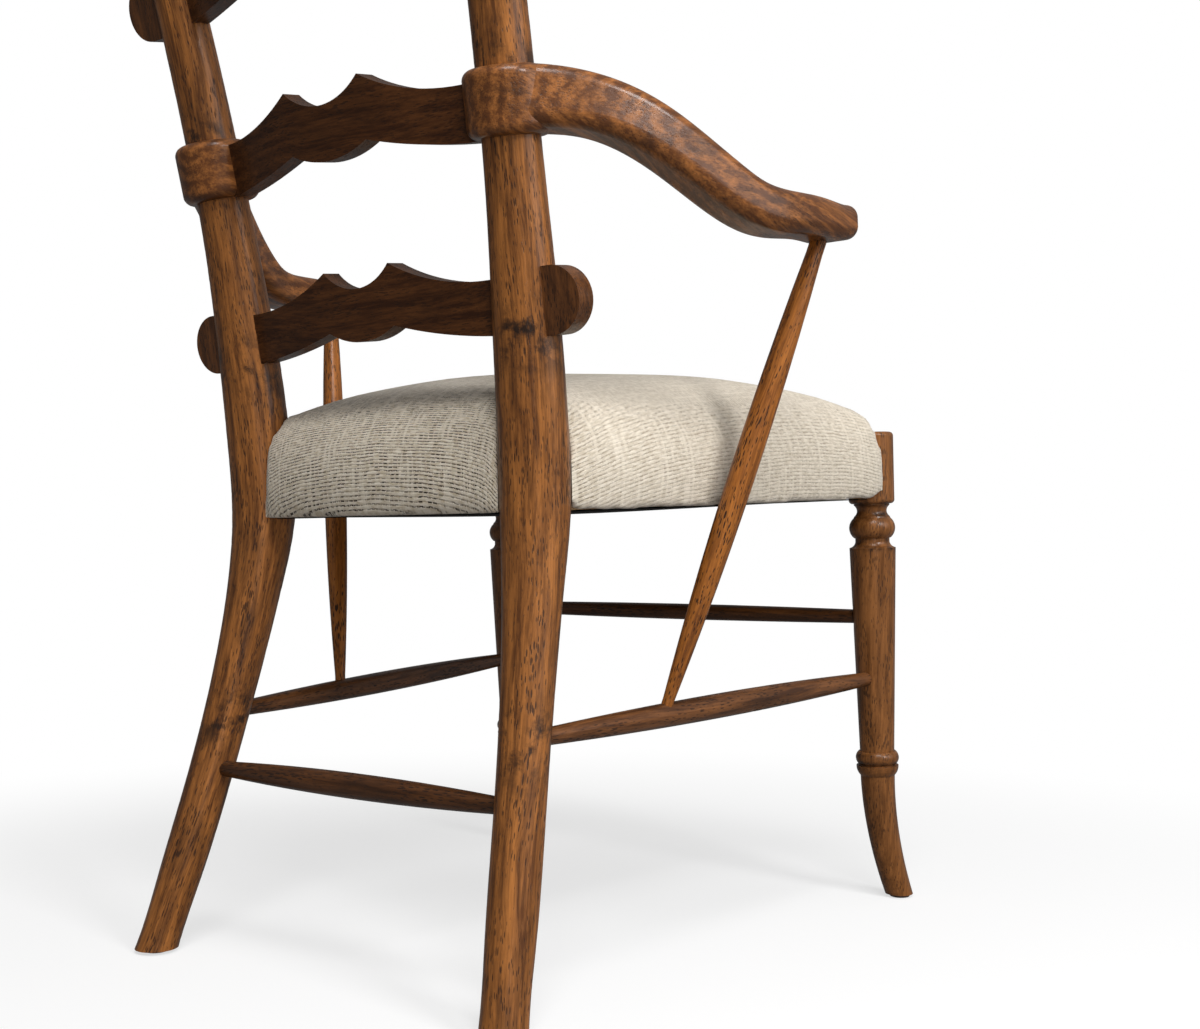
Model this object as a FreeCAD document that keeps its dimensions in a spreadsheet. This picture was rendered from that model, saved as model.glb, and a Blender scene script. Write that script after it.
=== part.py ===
import FreeCAD, Part
import math
import os
import Sketcher

# A ladder back armchair with a stuffed-over seat, as separate wooden and upholstered pieces.
# Millimetres and degrees. +Z is up, the sitter faces -Y and the sitter's left hand is at +X.
# The origin is on the floor, under the middle of the chair's outer box.

SIZES = (
    # Stance
    ("front_leg_forward", 274.0),
    ("seat_depth", 438.5),
    ("seat_front_height", 403.0),
    ("seat_slope", 3.0),
    ("front_leg_spacing", 471.0),
    ("rear_post_spacing", 315.0),
    ("back_height", 1032.0),
    # Fits
    ("joint_gap", 0.1),
    ("cushion_gap", 1.0),
    # Rear posts
    ("post_recline", 140.0),
    ("post_flare", 30.0),
    ("post_kick", 87.0),
    ("post_splay", 40.0),
    ("post_upper_curve", 1.5),
    ("post_lower_curve", 1.35),
    ("post_foot_radius", 18.5),
    ("post_shank_radius", 19.8),
    ("post_shank_level", 150.0),
    ("post_swell_height", 62.0),
    ("post_seat_radius", 28.0),
    ("post_arm_radius", 22.6),
    ("post_top_radius", 20.0),
    ("post_dome_height", 11.0),
    # Front legs, measured down from the underside of the seat rails
    ("leg_top", 65.0),
    ("leg_top_round", 4.0),
    ("leg_block_radius", 22.5),
    ("leg_block_drop", 6.0),
    ("leg_block_round", 4.0),
    ("leg_neck_radius", 17.5),
    ("leg_neck_cove", 2.9),
    ("bobbin_drop", 30.0),
    ("bobbin_height", 20.0),
    ("bobbin_end_radius", 18.0),
    ("bobbin_swell", 4.6),
    ("lower_neck_radius", 16.8),
    ("lower_neck_height", 4.0),
    ("taper_drop", 51.0),
    ("taper_top_radius", 22.7),
    ("ankle_radius", 17.0),
    ("ring_drop", 260.5),
    ("ring_height", 13.0),
    ("ring_end_radius", 18.3),
    ("ring_swell", 3.0),
    ("bead_height", 10.0),
    ("bead_radius", 20.8),
    ("foot_radius", 13.5),
    ("foot_sweep", 22.0),
    ("foot_turn", 35.0),
    # Foot glides
    ("glide_radius", 10.0),
    ("glide_height", 3.0),
    ("glide_pin_radius", 1.5),
    ("glide_pin_length", 14.0),
    # Back slats
    ("slat_height", 540.0),
    ("slat_crest_drop", 60.0),
    ("slat_thickness", 18.0),
    ("slat_tenon_low", 23.5),
    ("slat_tenon_high", 19.5),
    ("slat_tenon_reach", 6.0),
    ("slat_shoulder", 1.5),
    ("slat_peak", 44.0),
    ("slat_valley", 27.5),
    ("slat_cusp", 6.0),
    ("slat_lobe", 16.0),
    ("slat_ornament", 37.0),
    ("slat_ornament_step", 5.0),
    ("slat_top_hollow", 6.5),
    ("slat_bottom_belly", 2.5),
    ("slat_bow_lower", 8.0),
    ("slat_bow_arm", 19.0),
    ("slat_bow_upper", 23.0),
    ("slat_bow_crest", 25.0),
    ("ear_radius", 26.0),
    ("ear_reach", 32.0),
    # Arms
    ("arm_height", 684.0),
    ("arm_reach", 290.0),
    ("arm_spread", 131.0),
    ("arm_start_out", 9.0),
    ("arm_dip", 65.0),
    ("arm_tip_lift", 9.5),
    ("arm_rear_height", 46.0),
    ("arm_front_height", 28.0),
    ("arm_rear_width", 38.0),
    ("arm_front_width", 46.0),
    ("arm_edge_round", 11.0),
    ("arm_tip_round", 8.0),
    ("collar_radius", 33.0),
    ("collar_height", 50.0),
    ("collar_round", 8.0),
    # Arm supports and stretchers
    ("support_place", 0.67),
    ("support_top_place", 0.89),
    ("support_foot_radius", 5.0),
    ("support_swell_radius", 11.3),
    ("support_top_radius", 7.0),
    ("stretcher_stop", 6.0),
    ("stretcher_tenon", 20.0),
    ("stretcher_end_radius", 7.0),
    ("side_stretcher_front_height", 223.0),
    ("side_stretcher_rear_height", 206.0),
    ("side_stretcher_radius", 10.8),
    ("front_stretcher_height", 284.0),
    ("front_stretcher_radius", 8.6),
    ("rear_stretcher_height", 157.0),
    ("rear_stretcher_radius", 10.6),
    # Seat frame
    ("rail_height", 45.0),
    ("rail_thickness", 24.0),
    ("rail_tenon_thickness", 12.0),
    ("rail_tenon_low", 7.0),
    ("rail_tenon_high", 38.0),
    ("rail_tenon_stop", 8.0),
    ("block_leg", 62.0),
    ("block_front_corner", 20.0),
    ("block_rear_corner", 28.0),
    ("block_height", 34.0),
    ("screw_place", 40.0),
    ("screw_seat", 12.0),
    ("screw_bite", 14.0),
    ("screw_radius", 2.0),
    ("screw_head_radius", 4.0),
    ("screw_head_height", 2.6),
    # Upholstery
    ("strap_width", 50.0),
    ("strap_thickness", 1.5),
    ("strap_spacing", 82.0),
    ("strap_fold", 20.0),
    ("cross_strap_first", 80.0),
    ("cross_strap_spacing", 92.0),
    ("cushion_side", 20.5),
    ("cushion_front", 20.0),
    ("cushion_rear", 21.0),
    ("cushion_crown", 123.0),
    ("cushion_bow", 5.0),
    ("cushion_corner", 22.0),
    ("cover_thickness", 1.5),
    ("foam_gap", 0.3),
    ("dust_cover_thickness", 1.0),
    ("dust_cover_inset", 3.0),
)

SLAT_NAMES = ("lower", "arm", "upper", "crest")
ARM_SLAT = 1
LONG_STRAPS = 3
CROSS_STRAPS = 4

doc = FreeCAD.newDocument("LadderBackArmchair")
Vector = FreeCAD.Vector
Placement = FreeCAD.Placement
Rotation = FreeCAD.Rotation
UP = Vector(0, 0, 1)
# How far a quarter circle's middle stands off its straight line, as a share of its radius
QUARTER_BULGE = 1 - math.sqrt(0.5)


class Size:
    """A number together with the formula that works it out from the sheet."""

    def __init__(self, number, formula):
        self.number = float(number)
        self.formula = formula

    def __float__(self):
        return self.number

    def __add__(self, other):
        other = as_size(other)
        return Size(self.number + other.number, f"({self.formula} + {other.formula})")

    def __sub__(self, other):
        other = as_size(other)
        return Size(self.number - other.number, f"({self.formula} - {other.formula})")

    def __mul__(self, other):
        other = as_size(other)
        return Size(self.number * other.number, f"({self.formula} * {other.formula})")

    def __truediv__(self, other):
        other = as_size(other)
        return Size(self.number / other.number, f"({self.formula} / {other.formula})")

    def __neg__(self):
        return Size(-self.number, f"(0 - {self.formula})")

    def __radd__(self, other):
        return as_size(other) + self

    def __rsub__(self, other):
        return as_size(other) - self

    def __rmul__(self, other):
        return as_size(other) * self


def as_size(value):
    """A plain number as a size without a formula of its own."""
    if isinstance(value, Size):
        return value
    return Size(value, f"{float(value):.6f}")


def bind(target, path, size):
    """Tie a property to the sheet where its size comes from there."""
    if "Sizes." in size.formula:
        target.setExpression(path, size.formula)


class Sheet:
    """The driving sizes, each under its own name."""


sheet = doc.addObject("Spreadsheet::Sheet", "Sizes")
size = Sheet()
for row, (alias, number) in enumerate(SIZES, start=1):
    sheet.set(f"A{row}", alias.replace("_", " "))
    sheet.set(f"B{row}", str(number))
    sheet.setAlias(f"B{row}", alias)
    setattr(size, alias, Size(number, f"Sizes.{alias}"))
doc.recompute()


# Drawing helpers

def new_sketch(body, name, role, offset=None):
    """A sketch on one of the body's own origin planes, moved by an offset."""
    sketch = body.newObject("Sketcher::SketchObject", name)
    plane = [feature for feature in body.Origin.OriginFeatures if feature.Role == role][0]
    sketch.AttachmentSupport = [(plane, "")]
    sketch.MapMode = "FlatFace"
    if offset is not None:
        sketch.AttachmentOffset = offset
    return sketch


def hold_point(sketch, geometry, end, across, along):
    """Fix a point of the sketch by its two distances from the sketch's origin."""
    for kind, axis, distance in (("DistanceX", -2, across), ("DistanceY", -1, along)):
        if abs(distance.number) < 1e-9:
            sketch.addConstraint(Sketcher.Constraint("PointOnObject", geometry, end, axis))
            continue
        if distance.number > 0:
            rule = Sketcher.Constraint(kind, -1, 1, geometry, end, distance.number)
            bound = distance
        else:
            rule = Sketcher.Constraint(kind, geometry, end, -1, 1, -distance.number)
            bound = -distance
        index = sketch.addConstraint(rule)
        bind(sketch, f"Constraints[{index}]", bound)


def draw_outline(sketch, corners):
    """Draw a closed outline from corners of x, y and the bulge of the run that follows.

    A bulge is how far the middle of the run stands off its straight line, to the left of the
    way it is drawn. Nought is a straight run.
    """
    corners = [tuple(as_size(value) for value in corner) for corner in corners]
    runs = []
    for corner, following in zip(corners, corners[1:] + corners[:1]):
        across, along, bulge = corner
        start = Vector(across.number, along.number, 0)
        end = Vector(following[0].number, following[1].number, 0)
        if abs(bulge.number) < 1e-9:
            index = sketch.addGeometry(Part.LineSegment(start, end))
        else:
            chord = end - start
            left = Vector(-chord.y, chord.x, 0).normalize()
            middle = (start + end) * 0.5 + left * bulge.number
            index = sketch.addGeometry(Part.Arc(start, middle, end))
            rise = bulge if bulge.number > 0 else -bulge
            wide = following[0] - across
            tall = following[1] - along
            radius = (wide * wide + tall * tall) / (8 * rise) + rise / 2
            rule = sketch.addConstraint(Sketcher.Constraint("Radius", index, radius.number))
            bind(sketch, f"Constraints[{rule}]", radius)
        first = 1 if sketch.getPoint(index, 1).distanceToPoint(start) < 1e-6 else 2
        runs.append((index, first, 3 - first))
    for run, following in zip(runs, runs[1:] + runs[:1]):
        sketch.addConstraint(Sketcher.Constraint("Coincident", run[0], run[2], following[0], following[1]))
    for run, corner in zip(runs, corners):
        hold_point(sketch, run[0], run[1], corner[0], corner[1])


def draw_circle(sketch, radius):
    """Draw a circle about the sketch's origin."""
    index = sketch.addGeometry(Part.Circle(Vector(0, 0, 0), UP, radius.number))
    sketch.addConstraint(Sketcher.Constraint("Coincident", index, 3, -1, 1))
    rule = sketch.addConstraint(Sketcher.Constraint("Radius", index, radius.number))
    bind(sketch, f"Constraints[{rule}]", radius)


# Making helpers

def new_body(name):
    return doc.addObject("PartDesign::Body", name)


def turn(body, name, profile, offset=None):
    """Turn a profile of radius and height about its own upright axis."""
    if offset is None:
        sketch = new_sketch(body, name + "_profile", "XZ_Plane")
    else:
        sketch = new_sketch(body, name + "_profile", "XY_Plane", offset)
    draw_outline(sketch, profile)
    turning = body.newObject("PartDesign::Revolution", name)
    turning.Profile = sketch
    turning.ReferenceAxis = (sketch, ["V_Axis"])
    turning.Angle = 360
    return turning


def loft(body, name, sections):
    """Loft through sections, each a placement with a circle's radius or an outline."""
    sketches = []
    for index, (placement, shape) in enumerate(sections):
        sketch = new_sketch(body, f"{name}_section_{index}", "XY_Plane", placement)
        if isinstance(shape, Size):
            draw_circle(sketch, shape)
        else:
            draw_outline(sketch, shape)
        sketches.append(sketch)
    skin = body.newObject("PartDesign::AdditiveLoft", name)
    skin.Profile = sketches[0]
    skin.Sections = sketches[1:]
    return skin


def pad(body, name, role, outline, depth, both_ways=False):
    """Pad an outline on an origin plane by a depth."""
    sketch = new_sketch(body, name + "_outline", role)
    draw_outline(sketch, outline)
    block = body.newObject("PartDesign::Pad", name)
    block.Profile = sketch
    block.Length = depth.number
    bind(block, "Length", depth)
    if both_ways:
        block.SideType = "Symmetric"
    return block


def box(name, frame, low, high):
    """A box between two corners given in a frame."""
    low = [as_size(value) for value in low]
    high = [as_size(value) for value in high]
    block = doc.addObject("Part::Box", name)
    for side, start, end in zip(("Length", "Width", "Height"), low, high):
        reach = end - start
        setattr(block, side, reach.number)
        bind(block, side, reach)
    block.Placement = frame.multiply(Placement(Vector(*[value.number for value in low]), Rotation()))
    return block


def rod(name, frame, radius, length):
    """A cylinder along a frame's own Z, from its origin."""
    radius = as_size(radius)
    length = as_size(length)
    cylinder = doc.addObject("Part::Cylinder", name)
    cylinder.Radius = radius.number
    cylinder.Height = length.number
    bind(cylinder, "Radius", radius)
    bind(cylinder, "Height", length)
    cylinder.Placement = frame
    return cylinder


def fuse(name, pieces):
    joined = doc.addObject("Part::MultiFuse", name)
    joined.Shapes = pieces
    joined.Refine = False
    return joined


def cut(name, base, tools):
    """Cut tools away from a piece, one after another."""
    result = base
    for number, tool in enumerate(tools):
        step = doc.addObject("Part::Cut", f"{name}_{number}")
        step.Base = result
        step.Tool = tool
        step.Refine = False
        result = step
    return result


def mirror(name, source):
    """The same piece on the chair's other side."""
    image = doc.addObject("Part::Mirroring", name)
    image.Source = source
    image.Normal = Vector(1, 0, 0)
    return image


def group(name, pieces):
    """Equal pieces kept together under one name."""
    compound = doc.addObject("Part::Compound", name)
    compound.Links = pieces
    return compound


nodes = {}


def keep(label, piece):
    """Name a finished piece."""
    piece.Label = label
    nodes[label] = piece
    return piece


# Where things stand

slope = math.radians(size.seat_slope.number)
half_front = size.front_leg_spacing / 2
half_rear = size.rear_post_spacing / 2
rail_run = size.seat_depth.number / math.cos(slope)
seat_frame = Placement(
    Vector(0, -size.front_leg_forward.number, size.seat_front_height.number),
    Rotation(Vector(1, 0, 0), -size.seat_slope.number),
)
rear_rail_level = size.seat_front_height.number - size.seat_depth.number * math.tan(slope)
rear_rail_place = size.seat_depth.number - size.front_leg_forward.number
world = Placement()
no_gap = as_size(0)


def post_axis(level):
    """The left post's centre at a level above the floor."""
    if level >= rear_rail_level:
        rise = (level - rear_rail_level) / (size.back_height.number - rear_rail_level)
        share = rise ** size.post_upper_curve.number
        return Vector(
            half_rear.number + size.post_flare.number * share,
            rear_rail_place + size.post_recline.number * share,
            level,
        )
    share = ((rear_rail_level - level) / rear_rail_level) ** size.post_lower_curve.number
    return Vector(
        half_rear.number + size.post_splay.number * share,
        rear_rail_place + size.post_kick.number * share,
        level,
    )


def post_lean(level):
    """How far the post leans back at a level, in degrees."""
    step = post_axis(level + 1) - post_axis(level - 1)
    return math.degrees(math.atan2(step.y, step.z))


def slat_level(index):
    """A slat's level above the floor: one at the arms, one between the arms and the crest."""
    crest = size.back_height.number - size.slat_crest_drop.number
    arm = size.arm_height.number
    return (size.slat_height.number, arm, (arm + crest) / 2, crest)[index]


def along(start, end, distance):
    """A frame at a distance from a start point, with its Z towards the end point."""
    way = (end - start).normalize()
    return Placement(start + way * distance, Rotation(UP, way))


# Rear posts

arm_level = slat_level(ARM_SLAT)
post_top = size.back_height.number - size.post_dome_height.number
shank_level = size.post_shank_level.number
swell_top = rear_rail_level + size.post_swell_height.number
POST_STEPS = 17


def eased(low, high, level):
    """How far a level is from low to high, from 0 to 1, starting and ending gently."""
    share = min(max((level - low) / (high - low), 0), 1)
    return share * share * (3 - 2 * share)


def post_radius(level):
    """The post's radius at a level above the floor."""
    if level <= shank_level:
        share = eased(0, shank_level, level)
        return size.post_foot_radius + share * (size.post_shank_radius - size.post_foot_radius)
    if level <= rear_rail_level:
        share = ((level - shank_level) / (rear_rail_level - shank_level)) ** 2
        return size.post_shank_radius + share * (size.post_seat_radius - size.post_shank_radius)
    if level <= arm_level:
        share = eased(swell_top, arm_level, level)
        return size.post_seat_radius + share * (size.post_arm_radius - size.post_seat_radius)
    share = (level - arm_level) / (post_top - arm_level)
    return size.post_arm_radius + share * (size.post_top_radius - size.post_arm_radius)


def post_solid(name, grow):
    """The left post without its joints, or the space round it when it is grown."""
    body = new_body(name)
    sections = []
    for step in range(POST_STEPS):
        level = size.glide_height.number + step / (POST_STEPS - 1) * (post_top - size.glide_height.number)
        sections.append((Placement(post_axis(level), Rotation()), post_radius(level) + grow))
    loft(body, name + "_shaft", sections)
    return body


post_blank = post_solid("post_blank", no_gap)
dome_top = size.post_dome_height
turn(
    post_blank,
    "post_dome",
    (
        (0, 0, 0),
        (size.post_top_radius, 0, -0.35 * dome_top),
        (size.post_top_radius * 0.55, dome_top, 0),
        (0, dome_top, 0),
    ),
    Placement(
        post_axis(post_top),
        Rotation(Vector(1, 0, 0), Vector(0, 0, 1), Vector(0, -1, 0), "ZXY"),
    ),
)
post_space = post_solid("post_space", size.joint_gap)
post_clearing = post_solid("post_clearing", size.cushion_gap)
post_space_right = mirror("post_space_right", post_space)
post_clearing_right = mirror("post_clearing_right", post_clearing)

# Front legs, in the seat's own sloping frame

leg_frame = seat_frame.multiply(Placement(Vector(half_front.number, 0, 0), Rotation()))
neck_top = size.leg_block_drop + 1.5
bobbin_top = size.bobbin_drop - size.bobbin_height / 2
bobbin_base = size.bobbin_drop + size.bobbin_height / 2
ring_top = size.ring_drop - size.ring_height / 2
ring_base = size.ring_drop + size.ring_height / 2
bead_top = ring_base + 1.2
bead_base = bead_top + size.bead_height
leg_blank = new_body("leg_blank")
turn(
    leg_blank,
    "leg_turning",
    (
        (0, -bead_base, 0),
        (size.ankle_radius, -bead_base, -0.3 * (size.bead_radius - size.ankle_radius)),
        (size.bead_radius, -bead_top, 0),
        (size.ring_end_radius, -bead_top, 0),
        (size.ring_end_radius, -ring_base, -size.ring_swell),
        (size.ring_end_radius, -ring_top, 0),
        (size.ankle_radius, -ring_top, 0),
        (size.taper_top_radius, -size.taper_drop, 0),
        (
            size.taper_top_radius,
            -size.taper_drop + 1.2,
            0.22 * (size.taper_top_radius - size.lower_neck_radius),
        ),
        (size.lower_neck_radius, -bobbin_base - size.lower_neck_height, 0),
        (size.lower_neck_radius, -bobbin_base, 0),
        (size.bobbin_end_radius, -bobbin_base, -size.bobbin_swell),
        (size.bobbin_end_radius, -bobbin_top, 0),
        (size.leg_neck_radius, -bobbin_top + 1.5, size.leg_neck_cove),
        (size.leg_neck_radius, -neck_top, 0),
        (size.leg_neck_radius, -size.leg_block_drop, 0),
        (
            size.leg_block_radius - size.leg_block_round,
            -size.leg_block_drop,
            -QUARTER_BULGE * size.leg_block_round,
        ),
        (size.leg_block_radius, size.leg_block_round - size.leg_block_drop, 0),
        (size.leg_block_radius, size.leg_top - size.leg_top_round, -QUARTER_BULGE * size.leg_top_round),
        (size.leg_block_radius - size.leg_top_round, size.leg_top, 0),
        (0, size.leg_top, 0),
    ),
)
leg_blank.Placement = leg_frame

foot_way = math.radians(size.foot_turn.number)
foot_end = size.seat_front_height.number + 8


def foot_centre(drop):
    """The sabre foot's centre in the leg's own frame, at a drop below the seat rails."""
    share = (drop - bead_base.number) / (size.seat_front_height.number - bead_base.number)
    sweep = size.foot_sweep.number * share ** 1.9
    return Vector(sweep * math.sin(foot_way), -sweep * math.cos(foot_way), -drop)


foot_sections = []
for share in (0.0, 0.25, 0.5, 0.75, 1.0):
    drop = bead_base.number - 2 + share * (foot_end - bead_base.number + 2)
    radius = size.ankle_radius + share * (size.foot_radius - size.ankle_radius)
    centre = foot_centre(max(drop, bead_base.number))
    foot_sections.append((Placement(Vector(centre.x, centre.y, -drop), Rotation()), radius))
loft(leg_blank, "leg_foot", foot_sections)


def leg_point(level, swept=False):
    """The left leg's centre at a level above the floor."""
    drop = (size.seat_front_height.number - level) / math.cos(slope)
    centre = foot_centre(drop) if swept else Vector(0, 0, -drop)
    return leg_frame.multVec(centre)


# Stretchers and arm supports: swelled spindles with straight ends

def spindle(name, start, end, first_radius, swell_radius, last_radius, first_end, last_end, place):
    """A spindle from a start point to an end point, thickest at a share of its length."""
    length = (end - start).Length
    middle = length * place
    body = new_body(name)
    turn(
        body,
        name + "_turning",
        (
            (0, 0, 0),
            (first_radius, 0, 0),
            (first_radius, first_end, -0.25 * (swell_radius - first_radius)),
            (swell_radius, middle, -0.25 * (swell_radius - last_radius)),
            (last_radius, length - last_end, 0),
            (last_radius, length, 0),
            (0, length, 0),
        ),
    )
    body.Placement = along(start, end, 0)
    return body


def socket(name, start, end, radius):
    """The round hole that takes a spindle's end, from its bottom outwards."""
    return rod(name, along(start, end, 0), radius + size.joint_gap, size.stretcher_tenon + 24)


def stretcher(name, start_axis, end_axis, swell_radius):
    """A stretcher between two axes, with the points where its ends bottom."""
    way = (end_axis - start_axis).normalize()
    start = start_axis + way * size.stretcher_stop.number
    end = end_axis - way * size.stretcher_stop.number
    piece = spindle(
        name,
        start,
        end,
        size.stretcher_end_radius,
        swell_radius,
        size.stretcher_end_radius,
        size.stretcher_tenon,
        size.stretcher_tenon.number,
        0.5,
    )
    return piece, start, end


def flipped(point):
    return Vector(-point.x, point.y, point.z)


front_point = leg_point(size.front_stretcher_height.number)
front_stretcher, front_end, _ = stretcher(
    "front_stretcher_body", front_point, flipped(front_point), size.front_stretcher_radius
)
front_socket = socket("front_socket", front_end, flipped(front_end), size.stretcher_end_radius)

rear_point = post_axis(size.rear_stretcher_height.number)
rear_stretcher, rear_end, _ = stretcher(
    "rear_stretcher_body", rear_point, flipped(rear_point), size.rear_stretcher_radius
)
rear_socket = socket("rear_socket", rear_end, flipped(rear_end), size.stretcher_end_radius)

side_start_axis = leg_point(size.side_stretcher_front_height.number)
side_end_axis = post_axis(size.side_stretcher_rear_height.number)
side_stretcher, side_start, side_end = stretcher(
    "side_stretcher_body", side_start_axis, side_end_axis, size.side_stretcher_radius
)
side_front_socket = socket("side_front_socket", side_start, side_end, size.stretcher_end_radius)
side_rear_socket = socket("side_rear_socket", side_end, side_start, size.stretcher_end_radius)

# Arms: a curved bar that falls from a collar round the post and rises again to its tip

collar_axis = post_axis(arm_level)


def arm_centre(share):
    """The left arm's centre at a share of its reach."""
    fall = min(max((share - 0.10) / 0.52, 0), 1)
    step = fall * fall * (3 - 2 * fall)
    lift = max((share - 0.5) / 0.5, 0) ** 1.4
    return Vector(
        collar_axis.x + size.arm_start_out.number * (1 - share)
        + size.arm_spread.number * (1 - (1 - share) ** 2.4),
        collar_axis.y + size.arm_start_out.number * 0.6 * (1 - share) - size.arm_reach.number * share,
        arm_level - size.arm_dip.number * step + size.arm_tip_lift.number * lift,
    )


def rounded(width, height, corner):
    """A rounded rectangle about the sketch's origin."""
    half_width = width / 2
    half_height = height / 2
    round_bulge = -QUARTER_BULGE * corner
    return (
        (half_width - corner, -half_height, round_bulge),
        (half_width, -half_height + corner, 0),
        (half_width, half_height - corner, round_bulge),
        (half_width - corner, half_height, 0),
        (-half_width + corner, half_height, round_bulge),
        (-half_width, half_height - corner, 0),
        (-half_width, -half_height + corner, round_bulge),
        (-half_width + corner, -half_height, 0),
    )


def arm_section(share, inset):
    """The arm's rounded section at a share of its reach, drawn in by an inset."""
    way = (arm_centre(share + 0.01) - arm_centre(share - 0.01)).normalize()
    level_way = Vector(way.y, -way.x, 0).normalize()
    upright = way.cross(level_way)
    width = size.arm_rear_width + share * (size.arm_front_width - size.arm_rear_width) - 2 * inset
    height = size.arm_rear_height + share * (size.arm_front_height - size.arm_rear_height) - 2 * inset
    turned = Rotation(level_way, upright, way, "ZXY")
    return Placement(arm_centre(share), turned), rounded(width, height, size.arm_edge_round - inset)


ARM_SHARES = (0.0, 0.12, 0.24, 0.36, 0.48, 0.60, 0.72, 0.83, 0.94)
# How far each section of the rounded nose stands out, as a share of its rounding
NOSE_SHARES = (0.0, 0.5, 0.87, 1.0)
arm_blank = new_body("arm_blank")
loft(arm_blank, "arm_bar", [arm_section(share, no_gap) for share in ARM_SHARES])
nose_sections = []
for share in NOSE_SHARES:
    inset = size.arm_tip_round * (1 - math.sqrt(1 - share * share))
    place, outline = arm_section(ARM_SHARES[-1], inset)
    step_out = Placement(Vector(0, 0, share * size.arm_tip_round.number), Rotation())
    nose_sections.append((place.multiply(step_out), outline))
loft(arm_blank, "arm_nose", nose_sections)
collar_lean = (post_axis(arm_level + 1) - post_axis(arm_level - 1)).normalize()
collar_side = Vector(0, 1, 0).cross(collar_lean).normalize()
collar_low = -size.collar_height / 2
collar_high = size.collar_height / 2
turn(
    arm_blank,
    "arm_collar",
    (
        (0, collar_low, 0),
        (size.collar_radius - size.collar_round, collar_low, -QUARTER_BULGE * size.collar_round),
        (size.collar_radius, collar_low + size.collar_round, 0),
        (size.collar_radius, collar_high - size.collar_round, -QUARTER_BULGE * size.collar_round),
        (size.collar_radius - size.collar_round, collar_high, 0),
        (0, collar_high, 0),
    ),
    Placement(
        collar_axis,
        Rotation(collar_side, collar_lean, collar_side.cross(collar_lean), "ZXY"),
    ),
)

# Arm supports stand on the side stretchers and end in the arms
support_foot = side_start_axis + (side_end_axis - side_start_axis) * size.support_place.number
support_top = arm_centre(size.support_top_place.number)
arm_support = spindle(
    "arm_support_body",
    support_foot,
    support_top,
    size.support_foot_radius,
    size.support_swell_radius,
    size.support_top_radius,
    size.side_stretcher_radius + 4,
    size.arm_front_height.number,
    0.52,
)
support_foot_hole = rod(
    "support_foot_hole",
    along(support_foot, support_top, 0),
    size.support_foot_radius + size.joint_gap,
    size.side_stretcher_radius + 10,
)
support_top_hole = rod(
    "support_top_hole",
    along(support_top, support_foot, 0),
    size.support_top_radius + size.joint_gap,
    size.arm_front_height,
)

# Back slats, each in its own frame that leans with the posts

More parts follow.
